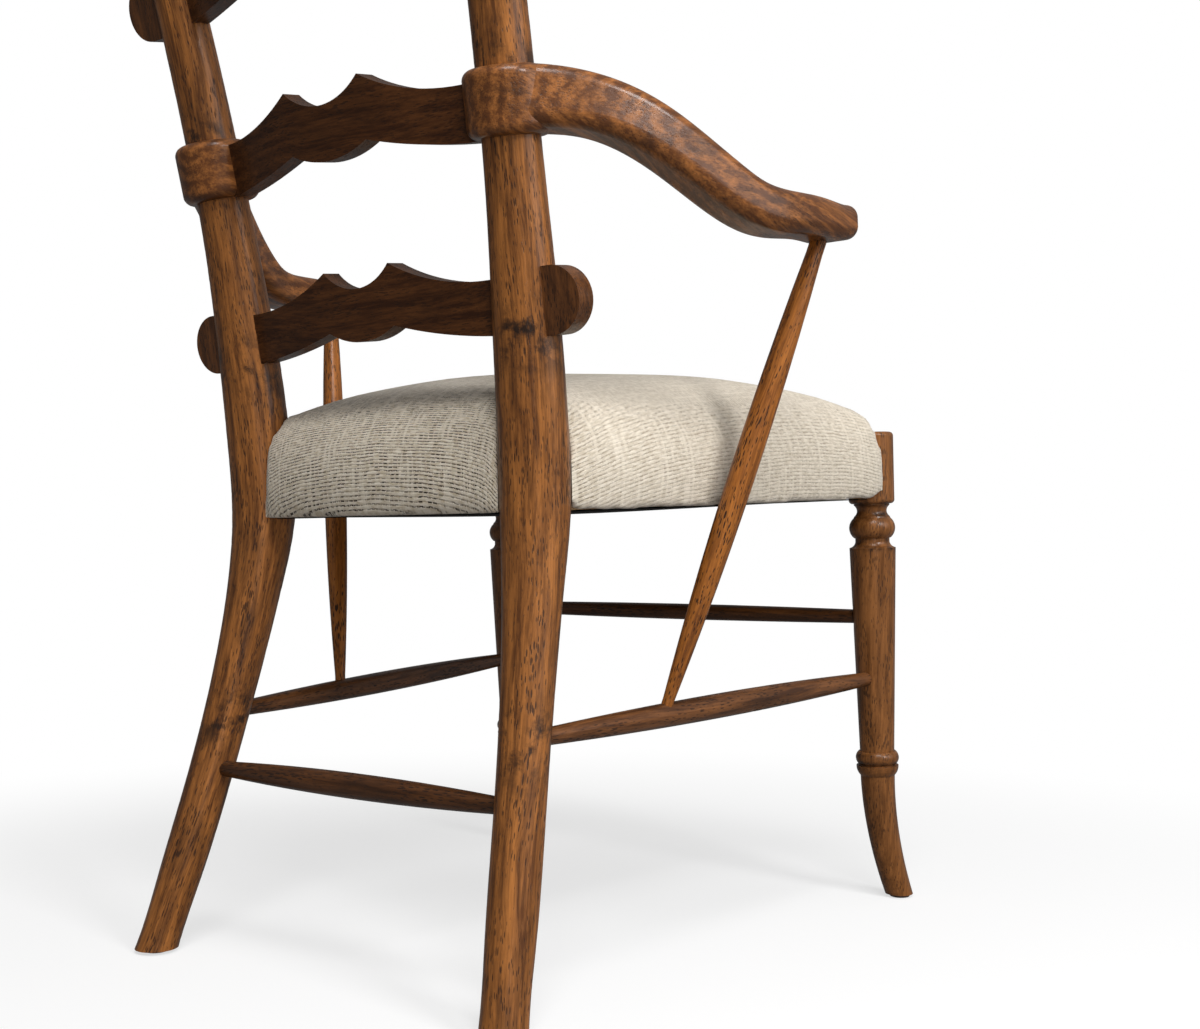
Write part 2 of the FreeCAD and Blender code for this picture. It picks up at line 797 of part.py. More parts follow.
slat_mortises = []
slat_pieces = []
ears = []
slat_bows = (size.slat_bow_lower, size.slat_bow_arm, size.slat_bow_upper, size.slat_bow_crest)
for index, (slat_name, bow) in enumerate(zip(SLAT_NAMES, slat_bows)):
    level = slat_level(index)
    centre = post_axis(level)
    frame = Placement(Vector(0, centre.y, level), Rotation(Vector(1, 0, 0), -post_lean(level)))
    if index == ARM_SLAT:
        inner = centre.x - size.collar_radius - size.slat_shoulder
        tenon_end = centre.x + size.post_arm_radius + size.slat_tenon_reach
    else:
        inner = centre.x - post_radius(level) - size.slat_shoulder
        tenon_end = centre.x + size.slat_tenon_reach
    ornament = size.slat_ornament + index * size.slat_ornament_step
    low = -size.slat_tenon_low
    high = size.slat_tenon_high
    top_hollow = size.slat_top_hollow
    belly = -size.slat_bottom_belly
    body = new_body(f"slat_{slat_name}_body")
    deep = 2 * (bow + size.slat_thickness)
    pad(
        body,
        f"slat_{slat_name}_board",
        "XZ_Plane",
        (
            (tenon_end, low, 0),
            (tenon_end, high, 0),
            (inner, high, top_hollow),
            (ornament, size.slat_peak, size.slat_peak - size.slat_valley),
            (-ornament, size.slat_peak, top_hollow),
            (-inner, high, 0),
            (-tenon_end, high, 0),
            (-tenon_end, low, 0),
            (-inner, low, belly),
            (-ornament, -size.slat_cusp, size.slat_cusp - size.slat_lobe),
            (ornament, -size.slat_cusp, belly),
            (inner, low, 0),
        ),
        deep,
        both_ways=True,
    )
    half_thick = size.slat_thickness / 2
    past = tenon_end + 5
    waste = new_sketch(body, f"slat_{slat_name}_bow", "XY_Plane")
    draw_outline(
        waste,
        (
            (-past, -deep, 0),
            (past, -deep, 0),
            (past, -half_thick, 0),
            (inner, -half_thick, -bow),
            (-inner, -half_thick, 0),
            (-past, -half_thick, 0),
        ),
    )
    draw_outline(
        waste,
        (
            (past, deep, 0),
            (-past, deep, 0),
            (-past, half_thick, 0),
            (-inner, half_thick, bow),
            (inner, half_thick, 0),
            (past, half_thick, 0),
        ),
    )
    shaping = body.newObject("PartDesign::Pocket", f"slat_{slat_name}_shaping")
    shaping.Profile = waste
    shaping.Length = 4 * size.slat_peak.number
    bind(shaping, "Length", 4 * size.slat_peak)
    shaping.SideType = "Symmetric"
    body.Placement = frame
    slat_pieces.append(body)
    gap = size.joint_gap
    slat_mortises.append(
        box(
            f"slat_{slat_name}_mortise",
            frame,
            (centre.x - size.collar_radius - 20, -half_thick - gap, low - gap),
            (
                tenon_end if index == ARM_SLAT else centre.x + size.collar_radius + 20,
                half_thick + gap,
                high + gap,
            ),
        )
    )
    if index == ARM_SLAT:
        continue
    # The ear stands on the outer side of the post, with a stub in the same mortise
    middle = (high + low) / 2
    ear_body = new_body(f"ear_{slat_name}_body")
    pad(
        ear_body,
        f"ear_{slat_name}_plate",
        "XZ_Plane",
        (
            (as_size(centre.x), middle - size.ear_radius, 0),
            (centre.x + size.ear_reach, middle - size.ear_radius, -QUARTER_BULGE * size.ear_radius),
            (centre.x + size.ear_reach + size.ear_radius, middle, -QUARTER_BULGE * size.ear_radius),
            (centre.x + size.ear_reach, middle + size.ear_radius, 0),
            (as_size(centre.x), middle + size.ear_radius, 0),
        ),
        size.slat_thickness,
        both_ways=True,
    )
    ear_body.Placement = frame
    ear_head = cut(f"ear_{slat_name}_head", ear_body, [post_space])
    ear_stub = box(
        f"ear_{slat_name}_stub",
        frame,
        (tenon_end, -half_thick, low),
        (centre.x + size.ear_reach, half_thick, high),
    )
    ears.append(fuse(f"ear_{slat_name}", [ear_head, ear_stub]))

for slat_name, piece in zip(SLAT_NAMES, slat_pieces):
    keep(f"slat_{slat_name}", piece)
ears_left = keep("slat_ears_left", group("ears_left", ears))
keep("slat_ears_right", mirror("ears_right", ears_left))

# Seat rails, tenoned into the legs and posts

rail_half = size.rail_thickness / 2
tenon_half = size.rail_tenon_thickness / 2
side_rail_length = math.hypot(half_front.number - half_rear.number, rail_run)
side_rail_angle = math.degrees(math.atan2(rail_run, half_rear.number - half_front.number))
side_rail_frame = leg_frame.multiply(Placement(Vector(0, 0, 0), Rotation(UP, side_rail_angle)))
rear_rail_frame = seat_frame.multiply(Placement(Vector(0, rail_run, 0), Rotation()))
leg_space = rod(
    "leg_space",
    leg_frame.multiply(Placement(Vector(0, 0, -20), Rotation())),
    size.leg_block_radius + size.joint_gap,
    size.leg_top + 40,
)
leg_space_right = mirror("leg_space_right", leg_space)


def tenon(name, frame, start, end, grow):
    """A rail's tenon along its frame's X, or its mortise when it is grown."""
    return box(
        name,
        frame,
        (start, -tenon_half - grow, size.rail_tenon_low - grow),
        (end, tenon_half + grow, size.rail_tenon_high + grow),
    )


def rail_block(name, frame, start, end):
    return box(name, frame, (start, -rail_half, 0), (end, rail_half, size.rail_height))


shoulder = 8
front_tenon_span = (half_front - size.leg_block_radius - shoulder, half_front - size.rail_tenon_stop)
rear_tenon_span = (half_rear - size.post_seat_radius - shoulder, half_rear - size.rail_tenon_stop)
side_front_span = (size.rail_tenon_stop, size.leg_block_radius + shoulder)
side_rear_span = (
    side_rail_length - size.post_seat_radius - shoulder,
    side_rail_length - size.rail_tenon_stop,
)
leg_mortises = [
    tenon("front_rail_mortise", seat_frame, *front_tenon_span, size.joint_gap),
    tenon("side_rail_front_mortise", side_rail_frame, *side_front_span, size.joint_gap),
]
post_mortises = [
    tenon("rear_rail_mortise", rear_rail_frame, *rear_tenon_span, size.joint_gap),
    tenon("side_rail_rear_mortise", side_rail_frame, *side_rear_span, size.joint_gap),
]


def straight_rail(name, frame, half_length, span, spaces):
    """A rail across the chair, hollowed to the round legs at its shoulders, with two tenons."""
    shaped = cut(f"{name}_shaped", rail_block(f"{name}_block", frame, -half_length, half_length), spaces)
    left_tenon = tenon(f"{name}_tenon_left", frame, *span, no_gap)
    right_tenon = tenon(f"{name}_tenon_right", frame, -span[1], -span[0], no_gap)
    return fuse(f"{name}_whole", [shaped, left_tenon, right_tenon])


front_rail = straight_rail(
    "front_rail", seat_frame, half_front, front_tenon_span, [leg_space, leg_space_right]
)
rear_rail = straight_rail(
    "rear_rail", rear_rail_frame, half_rear, rear_tenon_span, [post_space, post_space_right]
)
side_rail_shaped = cut(
    "side_rail_shaped",
    rail_block("side_rail_block", side_rail_frame, no_gap, as_size(side_rail_length)),
    [leg_space, post_space],
)
side_rail = fuse(
    "side_rail_whole",
    [
        side_rail_shaped,
        tenon("side_rail_tenon_front", side_rail_frame, *side_front_span, no_gap),
        tenon("side_rail_tenon_rear", side_rail_frame, *side_rear_span, no_gap),
    ],
)

# Corner blocks in the rails' inner corners, each held by two screws

side_way = Vector(half_rear.number - half_front.number, rail_run, 0).normalize()
side_inward = Vector(-side_way.y, side_way.x, 0)
inner_start = Vector(half_front.number, 0, 0) + side_inward * rail_half.number
toward_middle = Vector(-1, 0, 0)


def inner_corner(across):
    """Where a side rail's inner face meets a cross rail's inner face."""
    return inner_start + side_way * ((across - inner_start.y) / side_way.y)


screw_tools = []
block_bodies = []
screw_bodies = []


def corner_block(name, corner, way_back, rail_out, clear):
    """A block in one corner; way_back runs along the side rail, away from the corner."""
    body = new_body(name)
    points = (
        corner + toward_middle * size.block_leg.number,
        corner + toward_middle * clear.number,
        corner + way_back * clear.number,
        corner + way_back * size.block_leg.number,
    )
    pad(body, name + "_prism", "XY_Plane", [(point.x, point.y, 0) for point in points], size.block_height)
    body.Placement = seat_frame
    block_bodies.append(body)
    half_up = size.block_height.number / 2
    for number, (place, outwards) in enumerate(
        (
            (corner + toward_middle * size.screw_place.number, rail_out),
            (corner + way_back * size.screw_place.number, side_inward * -1),
        )
    ):
        seat_point = place - outwards * size.screw_seat.number + UP * half_up
        frame = seat_frame.multiply(Placement(seat_point, Rotation(UP, outwards * -1)))
        length = size.screw_seat + size.screw_bite
        screw = new_body(f"{name}_screw_{number}")
        turn(
            screw,
            f"{name}_screw_{number}_turning",
            (
                (0, -length, 0),
                (size.screw_radius, -length + size.screw_radius, 0),
                (size.screw_radius, 0, 0),
                (size.screw_head_radius, 0, 0),
                (size.screw_head_radius, size.screw_head_height, 0),
                (0, size.screw_head_height, 0),
            ),
        )
        screw.Placement = frame
        screw_bodies.append(screw)
        hole_start = frame.multiply(Placement(Vector(0, 0, -length.number), Rotation()))
        shank = rod(f"{name}_hole_{number}", hole_start, size.screw_radius + size.joint_gap / 2, length)
        head = rod(f"{name}_recess_{number}", frame, size.screw_head_radius + 0.5, size.block_leg)
        screw_tools.append(fuse(f"{name}_screw_room_{number}", [shank, head]))


corner_block(
    "front_block",
    inner_corner(rail_half.number),
    side_way,
    Vector(0, -1, 0),
    size.block_front_corner,
)
corner_block(
    "rear_block",
    inner_corner(rail_run - rail_half.number),
    side_way * -1,
    Vector(0, 1, 0),
    size.block_rear_corner,
)
screw_rooms = fuse("screw_rooms", screw_tools)
screw_rooms_right = mirror("screw_rooms_right", screw_rooms)
blocks_left = [
    cut(f"drilled_block_{number}", body, [screw_rooms]) for number, body in enumerate(block_bodies)
]
blocks_right = [mirror(f"drilled_block_right_{number}", piece) for number, piece in enumerate(blocks_left)]
keep("corner_blocks", group("corner_block_group", blocks_left + blocks_right))
screws_right = [mirror(f"screw_right_{number}", piece) for number, piece in enumerate(screw_bodies)]
keep("corner_block_screws", group("corner_block_screw_group", screw_bodies + screws_right))
keep("seat_rail_front", cut("front_rail_drilled", front_rail, [screw_rooms, screw_rooms_right]))
keep("seat_rail_rear", cut("rear_rail_drilled", rear_rail, [screw_rooms, screw_rooms_right]))
rail_left = keep("seat_rail_left", cut("side_rail_drilled", side_rail, [screw_rooms]))
keep("seat_rail_right", mirror("side_rail_right", rail_left))

# Webbing: straps from front to back on the rails, then straps across with their ends doubled under

strap_low = size.rail_height
strap_middle = size.rail_height + size.strap_thickness
strap_high = strap_middle + size.strap_thickness
long_straps = []
for number in range(LONG_STRAPS):
    middle = (number - (LONG_STRAPS - 1) / 2) * size.strap_spacing
    long_straps.append(
        box(
            f"long_strap_{number}",
            seat_frame,
            (middle - size.strap_width / 2, -rail_half + 2, strap_low),
            (middle + size.strap_width / 2, rail_run + rail_half - 2, strap_middle),
        )
    )
keep("webbing_lengthwise", group("long_strap_group", long_straps))
cross_straps = []
for number in range(CROSS_STRAPS):
    near = size.cross_strap_first + number * size.cross_strap_spacing
    far = near + size.strap_width
    half_length = as_size(half_front.number + side_way.x / side_way.y * far.number)
    strap = box(
        f"cross_strap_{number}", seat_frame,
        (-half_length, near, strap_middle), (half_length, far, strap_high),
    )
    fold = half_length - size.strap_fold
    folds = [
        box(
            f"cross_fold_left_{number}", seat_frame,
            (fold, near, strap_low), (half_length, far, strap_middle),
        ),
        box(
            f"cross_fold_right_{number}", seat_frame,
            (-half_length, near, strap_low), (-fold, far, strap_middle),
        ),
    ]
    cross_straps.append(fuse(f"cross_strap_whole_{number}", [strap] + folds))
keep("webbing_crosswise", group("cross_strap_group", cross_straps))

# Seat cushion: a crowned form over the rails, cut round the legs and posts

# Each section's share of the crown's height, and how far it is drawn in
CUSHION_SECTIONS = (
    (0.0, 5.0), (0.18, 0.5), (0.42, 2.5), (0.64, 13.0), (0.81, 38.0), (0.92, 78.0), (0.985, 140.0),
)


def cushion_outline(inset):
    """The seat's outline seen from above, drawn in by an inset."""
    front = half_front + size.cushion_side - inset
    rear = half_rear + size.cushion_side - inset
    near = -size.cushion_front + inset
    far = rail_run + size.cushion_rear - inset
    corner = size.cushion_corner
    turn_in = corner * (side_way.x / side_way.y)
    bow = size.cushion_bow
    corner_bulge = -0.28 * corner
    return (
        (-front + corner, near, -bow),
        (front - corner, near, corner_bulge),
        (front + turn_in, near + corner, -bow),
        (rear - turn_in, far - corner, corner_bulge),
        (rear - corner, far, -bow),
        (-rear + corner, far, corner_bulge),
        (-rear + turn_in, far - corner, -bow),
        (-front - turn_in, near + corner, corner_bulge),
    )


def cushion_solid(name, shrink, start):
    """The cushion's form, drawn in all over by a shrinkage, from a start level upwards."""
    body = new_body(name)
    sections = []
    for share, inset in CUSHION_SECTIONS:
        level = start.number + share * (size.cushion_crown.number - shrink.number - start.number)
        sections.append((Placement(Vector(0, 0, level), Rotation()), cushion_outline(inset + shrink)))
    loft(body, name + "_form", sections)
    body.Placement = seat_frame
    return body


leg_clearing = rod(
    "leg_clearing",
    leg_frame.multiply(Placement(Vector(0, 0, -20), Rotation())),
    size.leg_block_radius + size.cushion_gap,
    size.leg_top + size.cushion_gap + 20,
)
leg_clearing_right = mirror("leg_clearing_right", leg_clearing)
clearings = [leg_clearing, leg_clearing_right, post_clearing, post_clearing_right]
cover_start = -size.dust_cover_thickness
cover_outside = cushion_solid("cover_outside", no_gap, cover_start)
cover_inside = cushion_solid("cover_inside", size.cover_thickness, cover_start)
keep("seat_cover", cut("cover_trimmed", cover_outside, [cover_inside] + clearings))

foam_blank = cushion_solid("foam_blank", size.cover_thickness + size.foam_gap, no_gap)


def frame_outline(grow):
    """The outline of the four rails seen from above, grown all round."""
    side = half_front + (rail_half + grow) / side_way.y
    inward = side_way.x / side_way.y
    near = -rail_half - grow
    far = rail_run + rail_half + grow
    front = side + inward * near
    rear = side + inward * far
    return ((-front, near, 0), (front, near, 0), (rear, far, 0), (-rear, far, 0))


frame_room = new_body("frame_room")
pad(frame_room, "frame_room_prism", "XY_Plane", frame_outline(size.foam_gap), strap_high + 20)
frame_room.Placement = seat_frame.multiply(Placement(Vector(0, 0, -20), Rotation()))
keep("seat_foam", cut("foam_trimmed", foam_blank, [frame_room] + clearings))

dust_blank = new_body("dust_blank")
pad(dust_blank, "dust_sheet", "XY_Plane", frame_outline(-size.dust_cover_inset), size.dust_cover_thickness)
dust_drop = Vector(0, 0, -size.dust_cover_thickness.number)
dust_blank.Placement = seat_frame.multiply(Placement(dust_drop, Rotation()))
keep("dust_cover", cut("dust_trimmed", dust_blank, clearings))

# Foot glides, each a disc with a pin up into the foot

leg_foot_point = leg_point(0, swept=True)
post_foot_point = post_axis(size.glide_height.number)
glides = []
pins = []
for foot_name, point in (("leg", leg_foot_point), ("post", post_foot_point)):
    glide = new_body(f"{foot_name}_glide")
    turn(
        glide,
        f"{foot_name}_glide_turning",
        (
            (0, 0, 0),
            (size.glide_radius - 1, 0, -QUARTER_BULGE),
            (size.glide_radius, 1, 0),
            (size.glide_radius, size.glide_height, 0),
            (size.glide_pin_radius, size.glide_height, 0),
            (size.glide_pin_radius, size.glide_height + size.glide_pin_length, 0),
            (0, size.glide_height + size.glide_pin_length, 0),
        ),
    )
    place = Placement(Vector(point.x, point.y, 0), Rotation())
    glide.Placement = place
    glides.append(glide)
    pins.append(
        rod(
            f"{foot_name}_pin_hole",
            place,
            size.glide_pin_radius + size.joint_gap,
            size.glide_height + size.glide_pin_length,
        )
    )
glides_right = [mirror(f"glide_right_{number}", glide) for number, glide in enumerate(glides)]
keep("foot_glides", group("glide_group", glides + glides_right))

# The legs, posts, arms and stretchers with their joints cut

below_foot = box("below_foot", world, (0, -600, -60), (600, 0, size.glide_height))
leg_cut = cut("leg_jointed", leg_blank, leg_mortises + [front_socket, side_front_socket, pins[0], below_foot])
leg_left = keep("front_leg_left", leg_cut)
post_cut = cut(
    "post_jointed",
    post_blank,
    post_mortises + slat_mortises + [rear_socket, side_rear_socket, pins[1]],
)
post_left = keep("rear_post_left", post_cut)
arm_cut = cut("arm_jointed", arm_blank, [post_space, slat_mortises[ARM_SLAT], support_top_hole])
arm_left = keep("arm_left", arm_cut)
side_cut = cut("side_stretcher_bored", side_stretcher, [support_foot_hole])
stretcher_left = keep("side_stretcher_left", side_cut)
support_left = keep("arm_support_left", arm_support)
keep("front_stretcher", front_stretcher)
keep("rear_stretcher", rear_stretcher)
for label, piece in (
    ("front_leg_right", leg_left),
    ("rear_post_right", post_left),
    ("arm_right", arm_left),
    ("side_stretcher_right", stretcher_left),
    ("arm_support_right", support_left),
):
    keep(label, mirror(f"{label}_image", piece))

# Build, look for faults, and write one file for each piece

doc.recompute()
faults = []
for item in doc.Objects:
    if "Invalid" in item.State or "Error" in item.State:
        faults.append(f"{item.Name}: {item.State}")
for label, piece in nodes.items():
    if piece.Shape.isNull() or not piece.Shape.isValid():
        faults.append(f"{label}: shape is empty or not valid")
if faults:
    raise RuntimeError("; ".join(faults))
os.makedirs("parts", exist_ok=True)
for label, piece in nodes.items():
    piece.Shape.exportStep(f"parts/{label}.step")
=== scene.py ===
import math

import bmesh
import bpy
import numpy as np
from mathutils import Matrix, Vector


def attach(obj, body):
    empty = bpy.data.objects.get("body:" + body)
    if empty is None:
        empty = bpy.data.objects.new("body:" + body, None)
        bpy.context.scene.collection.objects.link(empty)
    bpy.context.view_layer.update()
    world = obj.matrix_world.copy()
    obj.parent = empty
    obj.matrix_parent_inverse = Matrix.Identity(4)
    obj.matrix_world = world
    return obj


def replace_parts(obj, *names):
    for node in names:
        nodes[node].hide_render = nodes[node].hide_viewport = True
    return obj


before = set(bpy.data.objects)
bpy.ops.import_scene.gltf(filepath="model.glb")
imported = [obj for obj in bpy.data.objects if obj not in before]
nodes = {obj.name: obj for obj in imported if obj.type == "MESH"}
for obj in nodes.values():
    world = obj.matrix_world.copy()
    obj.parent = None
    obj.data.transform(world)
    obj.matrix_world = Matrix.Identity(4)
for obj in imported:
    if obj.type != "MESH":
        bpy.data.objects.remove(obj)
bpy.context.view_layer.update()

# Rear posts
# Two round walnut posts, each bent back below and above the seat from one straight length.
# Stained red-brown, rubbed with a near-black glaze that stays in the pores, and lacquered to a satin gloss.

SEAT_LEVEL = 0.380
POST_TOP = 1.032
POST_RECLINE = 0.140
POST_FLARE = 0.030
POST_KICK = 0.087
POST_SPLAY = 0.040
POST_UPPER_CURVE = 1.5
POST_LOWER_CURVE = 1.35


def add_node(tree, kind, settings=None, **inputs):
    """A node with its settings; an input is a plain value or another node's socket."""
    node = tree.nodes.new(kind)
    for name, value in (settings or {}).items():
        setattr(node, name, value)
    for name, value in inputs.items():
        key = int(name[1:]) if name[0] == "_" else name.replace("_", " ")
        if isinstance(value, bpy.types.NodeSocket):
            tree.links.new(value, node.inputs[key])
        else:
            node.inputs[key].default_value = value
    return node


def maths(tree, operation, first, second=0.0, clamp=False):
    """The socket of one sum."""
    settings = {"operation": operation, "use_clamp": clamp}
    return add_node(tree, "ShaderNodeMath", settings, _0=first, _1=second).outputs[0]


def stretched(tree, place, scale):
    """A place squeezed or stretched along its axes."""
    return add_node(tree, "ShaderNodeMapping", Vector=place, Scale=scale).outputs["Vector"]


def noise(tree, place, scale, detail=2.0, roughness=0.5):
    """Even noise from 0 to 1 at a place."""
    return add_node(
        tree, "ShaderNodeTexNoise", Vector=place, Scale=scale, Detail=detail, Roughness=roughness
    ).outputs["Fac"]


def between(tree, value, low, high, start=0.0, end=1.0):
    """A value eased from one range to another, held at its ends."""
    return add_node(
        tree, "ShaderNodeMapRange", {"interpolation_type": "SMOOTHSTEP"},
        Value=value, From_Min=low, From_Max=high, To_Min=start, To_Max=end,
    ).outputs["Result"]


def mixed(tree, share, first, second, blend="MIX"):
    """Two colours mixed by a share."""
    node = add_node(
        tree, "ShaderNodeMix", {"data_type": "RGBA", "blend_type": blend}, _0=share, _6=first, _7=second
    )
    return node.outputs[2]


def new_group(name, inputs, outputs):
    """A shader node group with named sockets, and its two end nodes."""
    tree = bpy.data.node_groups.new(name, "ShaderNodeTree")
    for label, kind in inputs:
        tree.interface.new_socket(label, in_out="INPUT", socket_type="NodeSocket" + kind)
    for label, kind in outputs:
        tree.interface.new_socket(label, in_out="OUTPUT", socket_type="NodeSocket" + kind)
    start = tree.nodes.new("NodeGroupInput")
    end = tree.nodes.new("NodeGroupOutput")
    return tree, start, end


# Wood with its grain along Z: fibres, growth rings, dark pores, rubbed glaze, and darkening near joints that
# is partly glaze and partly painted shade
wood_figure, figure_in, figure_out = new_group(
    "wood_figure",
    (
        ("Grain Place", "Vector"), ("Pale Wood", "Color"), ("Brown Wood", "Color"), ("Glaze", "Color"),
        ("Rings", "Float"), ("Mottle", "Float"), ("Pores", "Float"), ("Joint Glaze", "Float"),
    ),
    (("Colour", "Color"), ("Roughness", "Float"), ("Relief", "Float")),
)
grain_place = figure_in.outputs["Grain Place"]
slow_wander = add_node(
    wood_figure, "ShaderNodeTexNoise",
    Vector=stretched(wood_figure, grain_place, (1, 1, 0.4)), Scale=11.0, Detail=2.0,
).outputs["Color"]
wander = add_node(
    wood_figure, "ShaderNodeVectorMath", {"operation": "MULTIPLY_ADD"},
    _0=slow_wander, _1=(0.022, 0.022, 0.0), _2=grain_place,
).outputs["Vector"]
rings = add_node(
    wood_figure, "ShaderNodeTexWave", {"wave_type": "RINGS", "rings_direction": "Z"},
    Vector=stretched(wood_figure, wander, (1, 1, 0.10)),
    Scale=30.0, Distortion=9.0, Detail=4.0, Detail_Scale=1.3, Detail_Roughness=0.65,
).outputs["Fac"]
fibres = noise(wood_figure, stretched(wood_figure, wander, (1, 1, 0.05)), 620.0, 4.0, 0.72)
broad_fibres = noise(wood_figure, stretched(wood_figure, wander, (1, 1, 0.07)), 150.0, 4.0, 0.65)
pore_cells = add_node(
    wood_figure, "ShaderNodeTexVoronoi",
    Vector=stretched(wood_figure, wander, (1, 1, 0.17)), Scale=640.0,
).outputs["Distance"]
pore_crowds = noise(wood_figure, stretched(wood_figure, wander, (1, 1, 0.25)), 75.0, 3.0, 0.6)
pore_reach = between(wood_figure, pore_crowds, 0.30, 0.70, 0.14, 0.46)
pore_marks = between(wood_figure, maths(wood_figure, "SUBTRACT", pore_reach, pore_cells), -0.02, 0.12)
patches = noise(wood_figure, stretched(wood_figure, wander, (1, 1, 0.28)), 34.0, 6.0, 0.66)
glaze_patches = maths(
    wood_figure, "MULTIPLY", between(wood_figure, patches, 0.48, 0.72), figure_in.outputs["Mottle"]
)
# Clouded darkening near the given levels of joints and grooves: glaze gathered there, and painted shade in
# the crevices
joint_clouds = between(wood_figure, noise(wood_figure, grain_place, 45.0, 5.0, 0.7), 0.44, 0.66)
joint_glaze_and_shade = maths(wood_figure, "MULTIPLY", joint_clouds, figure_in.outputs["Joint Glaze"])
glaze_and_joint_shade = maths(wood_figure, "MAXIMUM", glaze_patches, joint_glaze_and_shade, True)
streak_share = maths(
    wood_figure, "ADD",
    maths(wood_figure, "MULTIPLY", between(wood_figure, fibres, 0.32, 0.68), 0.5),
    maths(wood_figure, "MULTIPLY", between(wood_figure, broad_fibres, 0.34, 0.66), 0.6),
)
ring_share = maths(wood_figure, "MULTIPLY", rings, figure_in.outputs["Rings"])
wood_share = maths(wood_figure, "SUBTRACT", streak_share, ring_share, True)
bare_wood = mixed(
    wood_figure, wood_share, figure_in.outputs["Brown Wood"], figure_in.outputs["Pale Wood"]
)
glazed_and_shaded_wood = mixed(wood_figure, glaze_and_joint_shade, bare_wood, figure_in.outputs["Glaze"])
pore_share = maths(wood_figure, "MULTIPLY", pore_marks, figure_in.outputs["Pores"], True)
pored_wood = mixed(wood_figure, pore_share, glazed_and_shaded_wood, figure_in.outputs["Glaze"])
wood_figure.links.new(pored_wood, figure_out.inputs["Colour"])
dents = noise(wood_figure, grain_place, 95.0, 2.0, 0.5)
rub = maths(wood_figure, "MULTIPLY_ADD", fibres, 0.16)
rub.node.inputs[2].default_value = 0.25
pore_rub = maths(wood_figure, "MULTIPLY_ADD", pore_share, 0.25)
wood_figure.links.new(rub, pore_rub.node.inputs[2])
wood_figure.links.new(pore_rub, figure_out.inputs["Roughness"])
pore_dip = maths(wood_figure, "MULTIPLY_ADD", pore_share, -0.7)
wood_figure.links.new(maths(wood_figure, "MULTIPLY", fibres, 0.35), pore_dip.node.inputs[2])
relief = maths(wood_figure, "MULTIPLY_ADD", dents, 0.9)
wood_figure.links.new(pore_dip, relief.node.inputs[2])
wood_figure.links.new(relief, figure_out.inputs["Relief"])

# Takes the bend out of a place on a post, so that the grain follows the bent length
post_bend, bend_in, bend_out = new_group("post_bend", (("Place", "Vector"),), (("Grain Place", "Vector"),))
bend_parts = add_node(post_bend, "ShaderNodeSeparateXYZ", Vector=bend_in.outputs["Place"])
bend_level = bend_parts.outputs["Z"]
above_seat = maths(post_bend, "SUBTRACT", bend_level, SEAT_LEVEL)
below_seat = maths(post_bend, "SUBTRACT", SEAT_LEVEL, bend_level)
rise = maths(post_bend, "DIVIDE", above_seat, POST_TOP - SEAT_LEVEL, True)
drop = maths(post_bend, "DIVIDE", below_seat, SEAT_LEVEL, True)
upper_bend = maths(post_bend, "POWER", rise, POST_UPPER_CURVE)
lower_bend = maths(post_bend, "POWER", drop, POST_LOWER_CURVE)
bend_outward = maths(
    post_bend, "ADD",
    maths(post_bend, "MULTIPLY", upper_bend, POST_FLARE),
    maths(post_bend, "MULTIPLY", lower_bend, POST_SPLAY),
)
bend_back = maths(
    post_bend, "ADD",
    maths(post_bend, "MULTIPLY", upper_bend, POST_RECLINE),
    maths(post_bend, "MULTIPLY", lower_bend, POST_KICK),
)
straight_place = add_node(
    post_bend, "ShaderNodeCombineXYZ",
    X=maths(post_bend, "SUBTRACT", maths(post_bend, "ABSOLUTE", bend_parts.outputs["X"]), bend_outward),
    Y=maths(post_bend, "SUBTRACT", bend_parts.outputs["Y"], bend_back),
    Z=bend_level,
)
post_bend.links.new(straight_place.outputs["Vector"], bend_out.inputs["Grain Place"])


def near_levels(tree, place, levels, reach):
    """How near a place is to the closest of some levels above the floor, from 0 to 1."""
    height = add_node(tree, "ShaderNodeSeparateXYZ", Vector=place).outputs["Z"]
    nearest = maths(tree, "ABSOLUTE", maths(tree, "SUBTRACT", height, levels[0]))
    for level in levels[1:]:
        distance = maths(tree, "ABSOLUTE", maths(tree, "SUBTRACT", height, level))
        nearest = maths(tree, "MINIMUM", nearest, distance)
    return between(tree, nearest, reach, 0.0)


def new_material(name):
    """A material with its tree, its shader and the place on the piece."""
    material = bpy.data.materials.new(name)
    material.use_nodes = True
    tree = material.node_tree
    place = add_node(tree, "ShaderNodeTexCoord").outputs["Object"]
    return material, tree, tree.nodes["Principled BSDF"], place


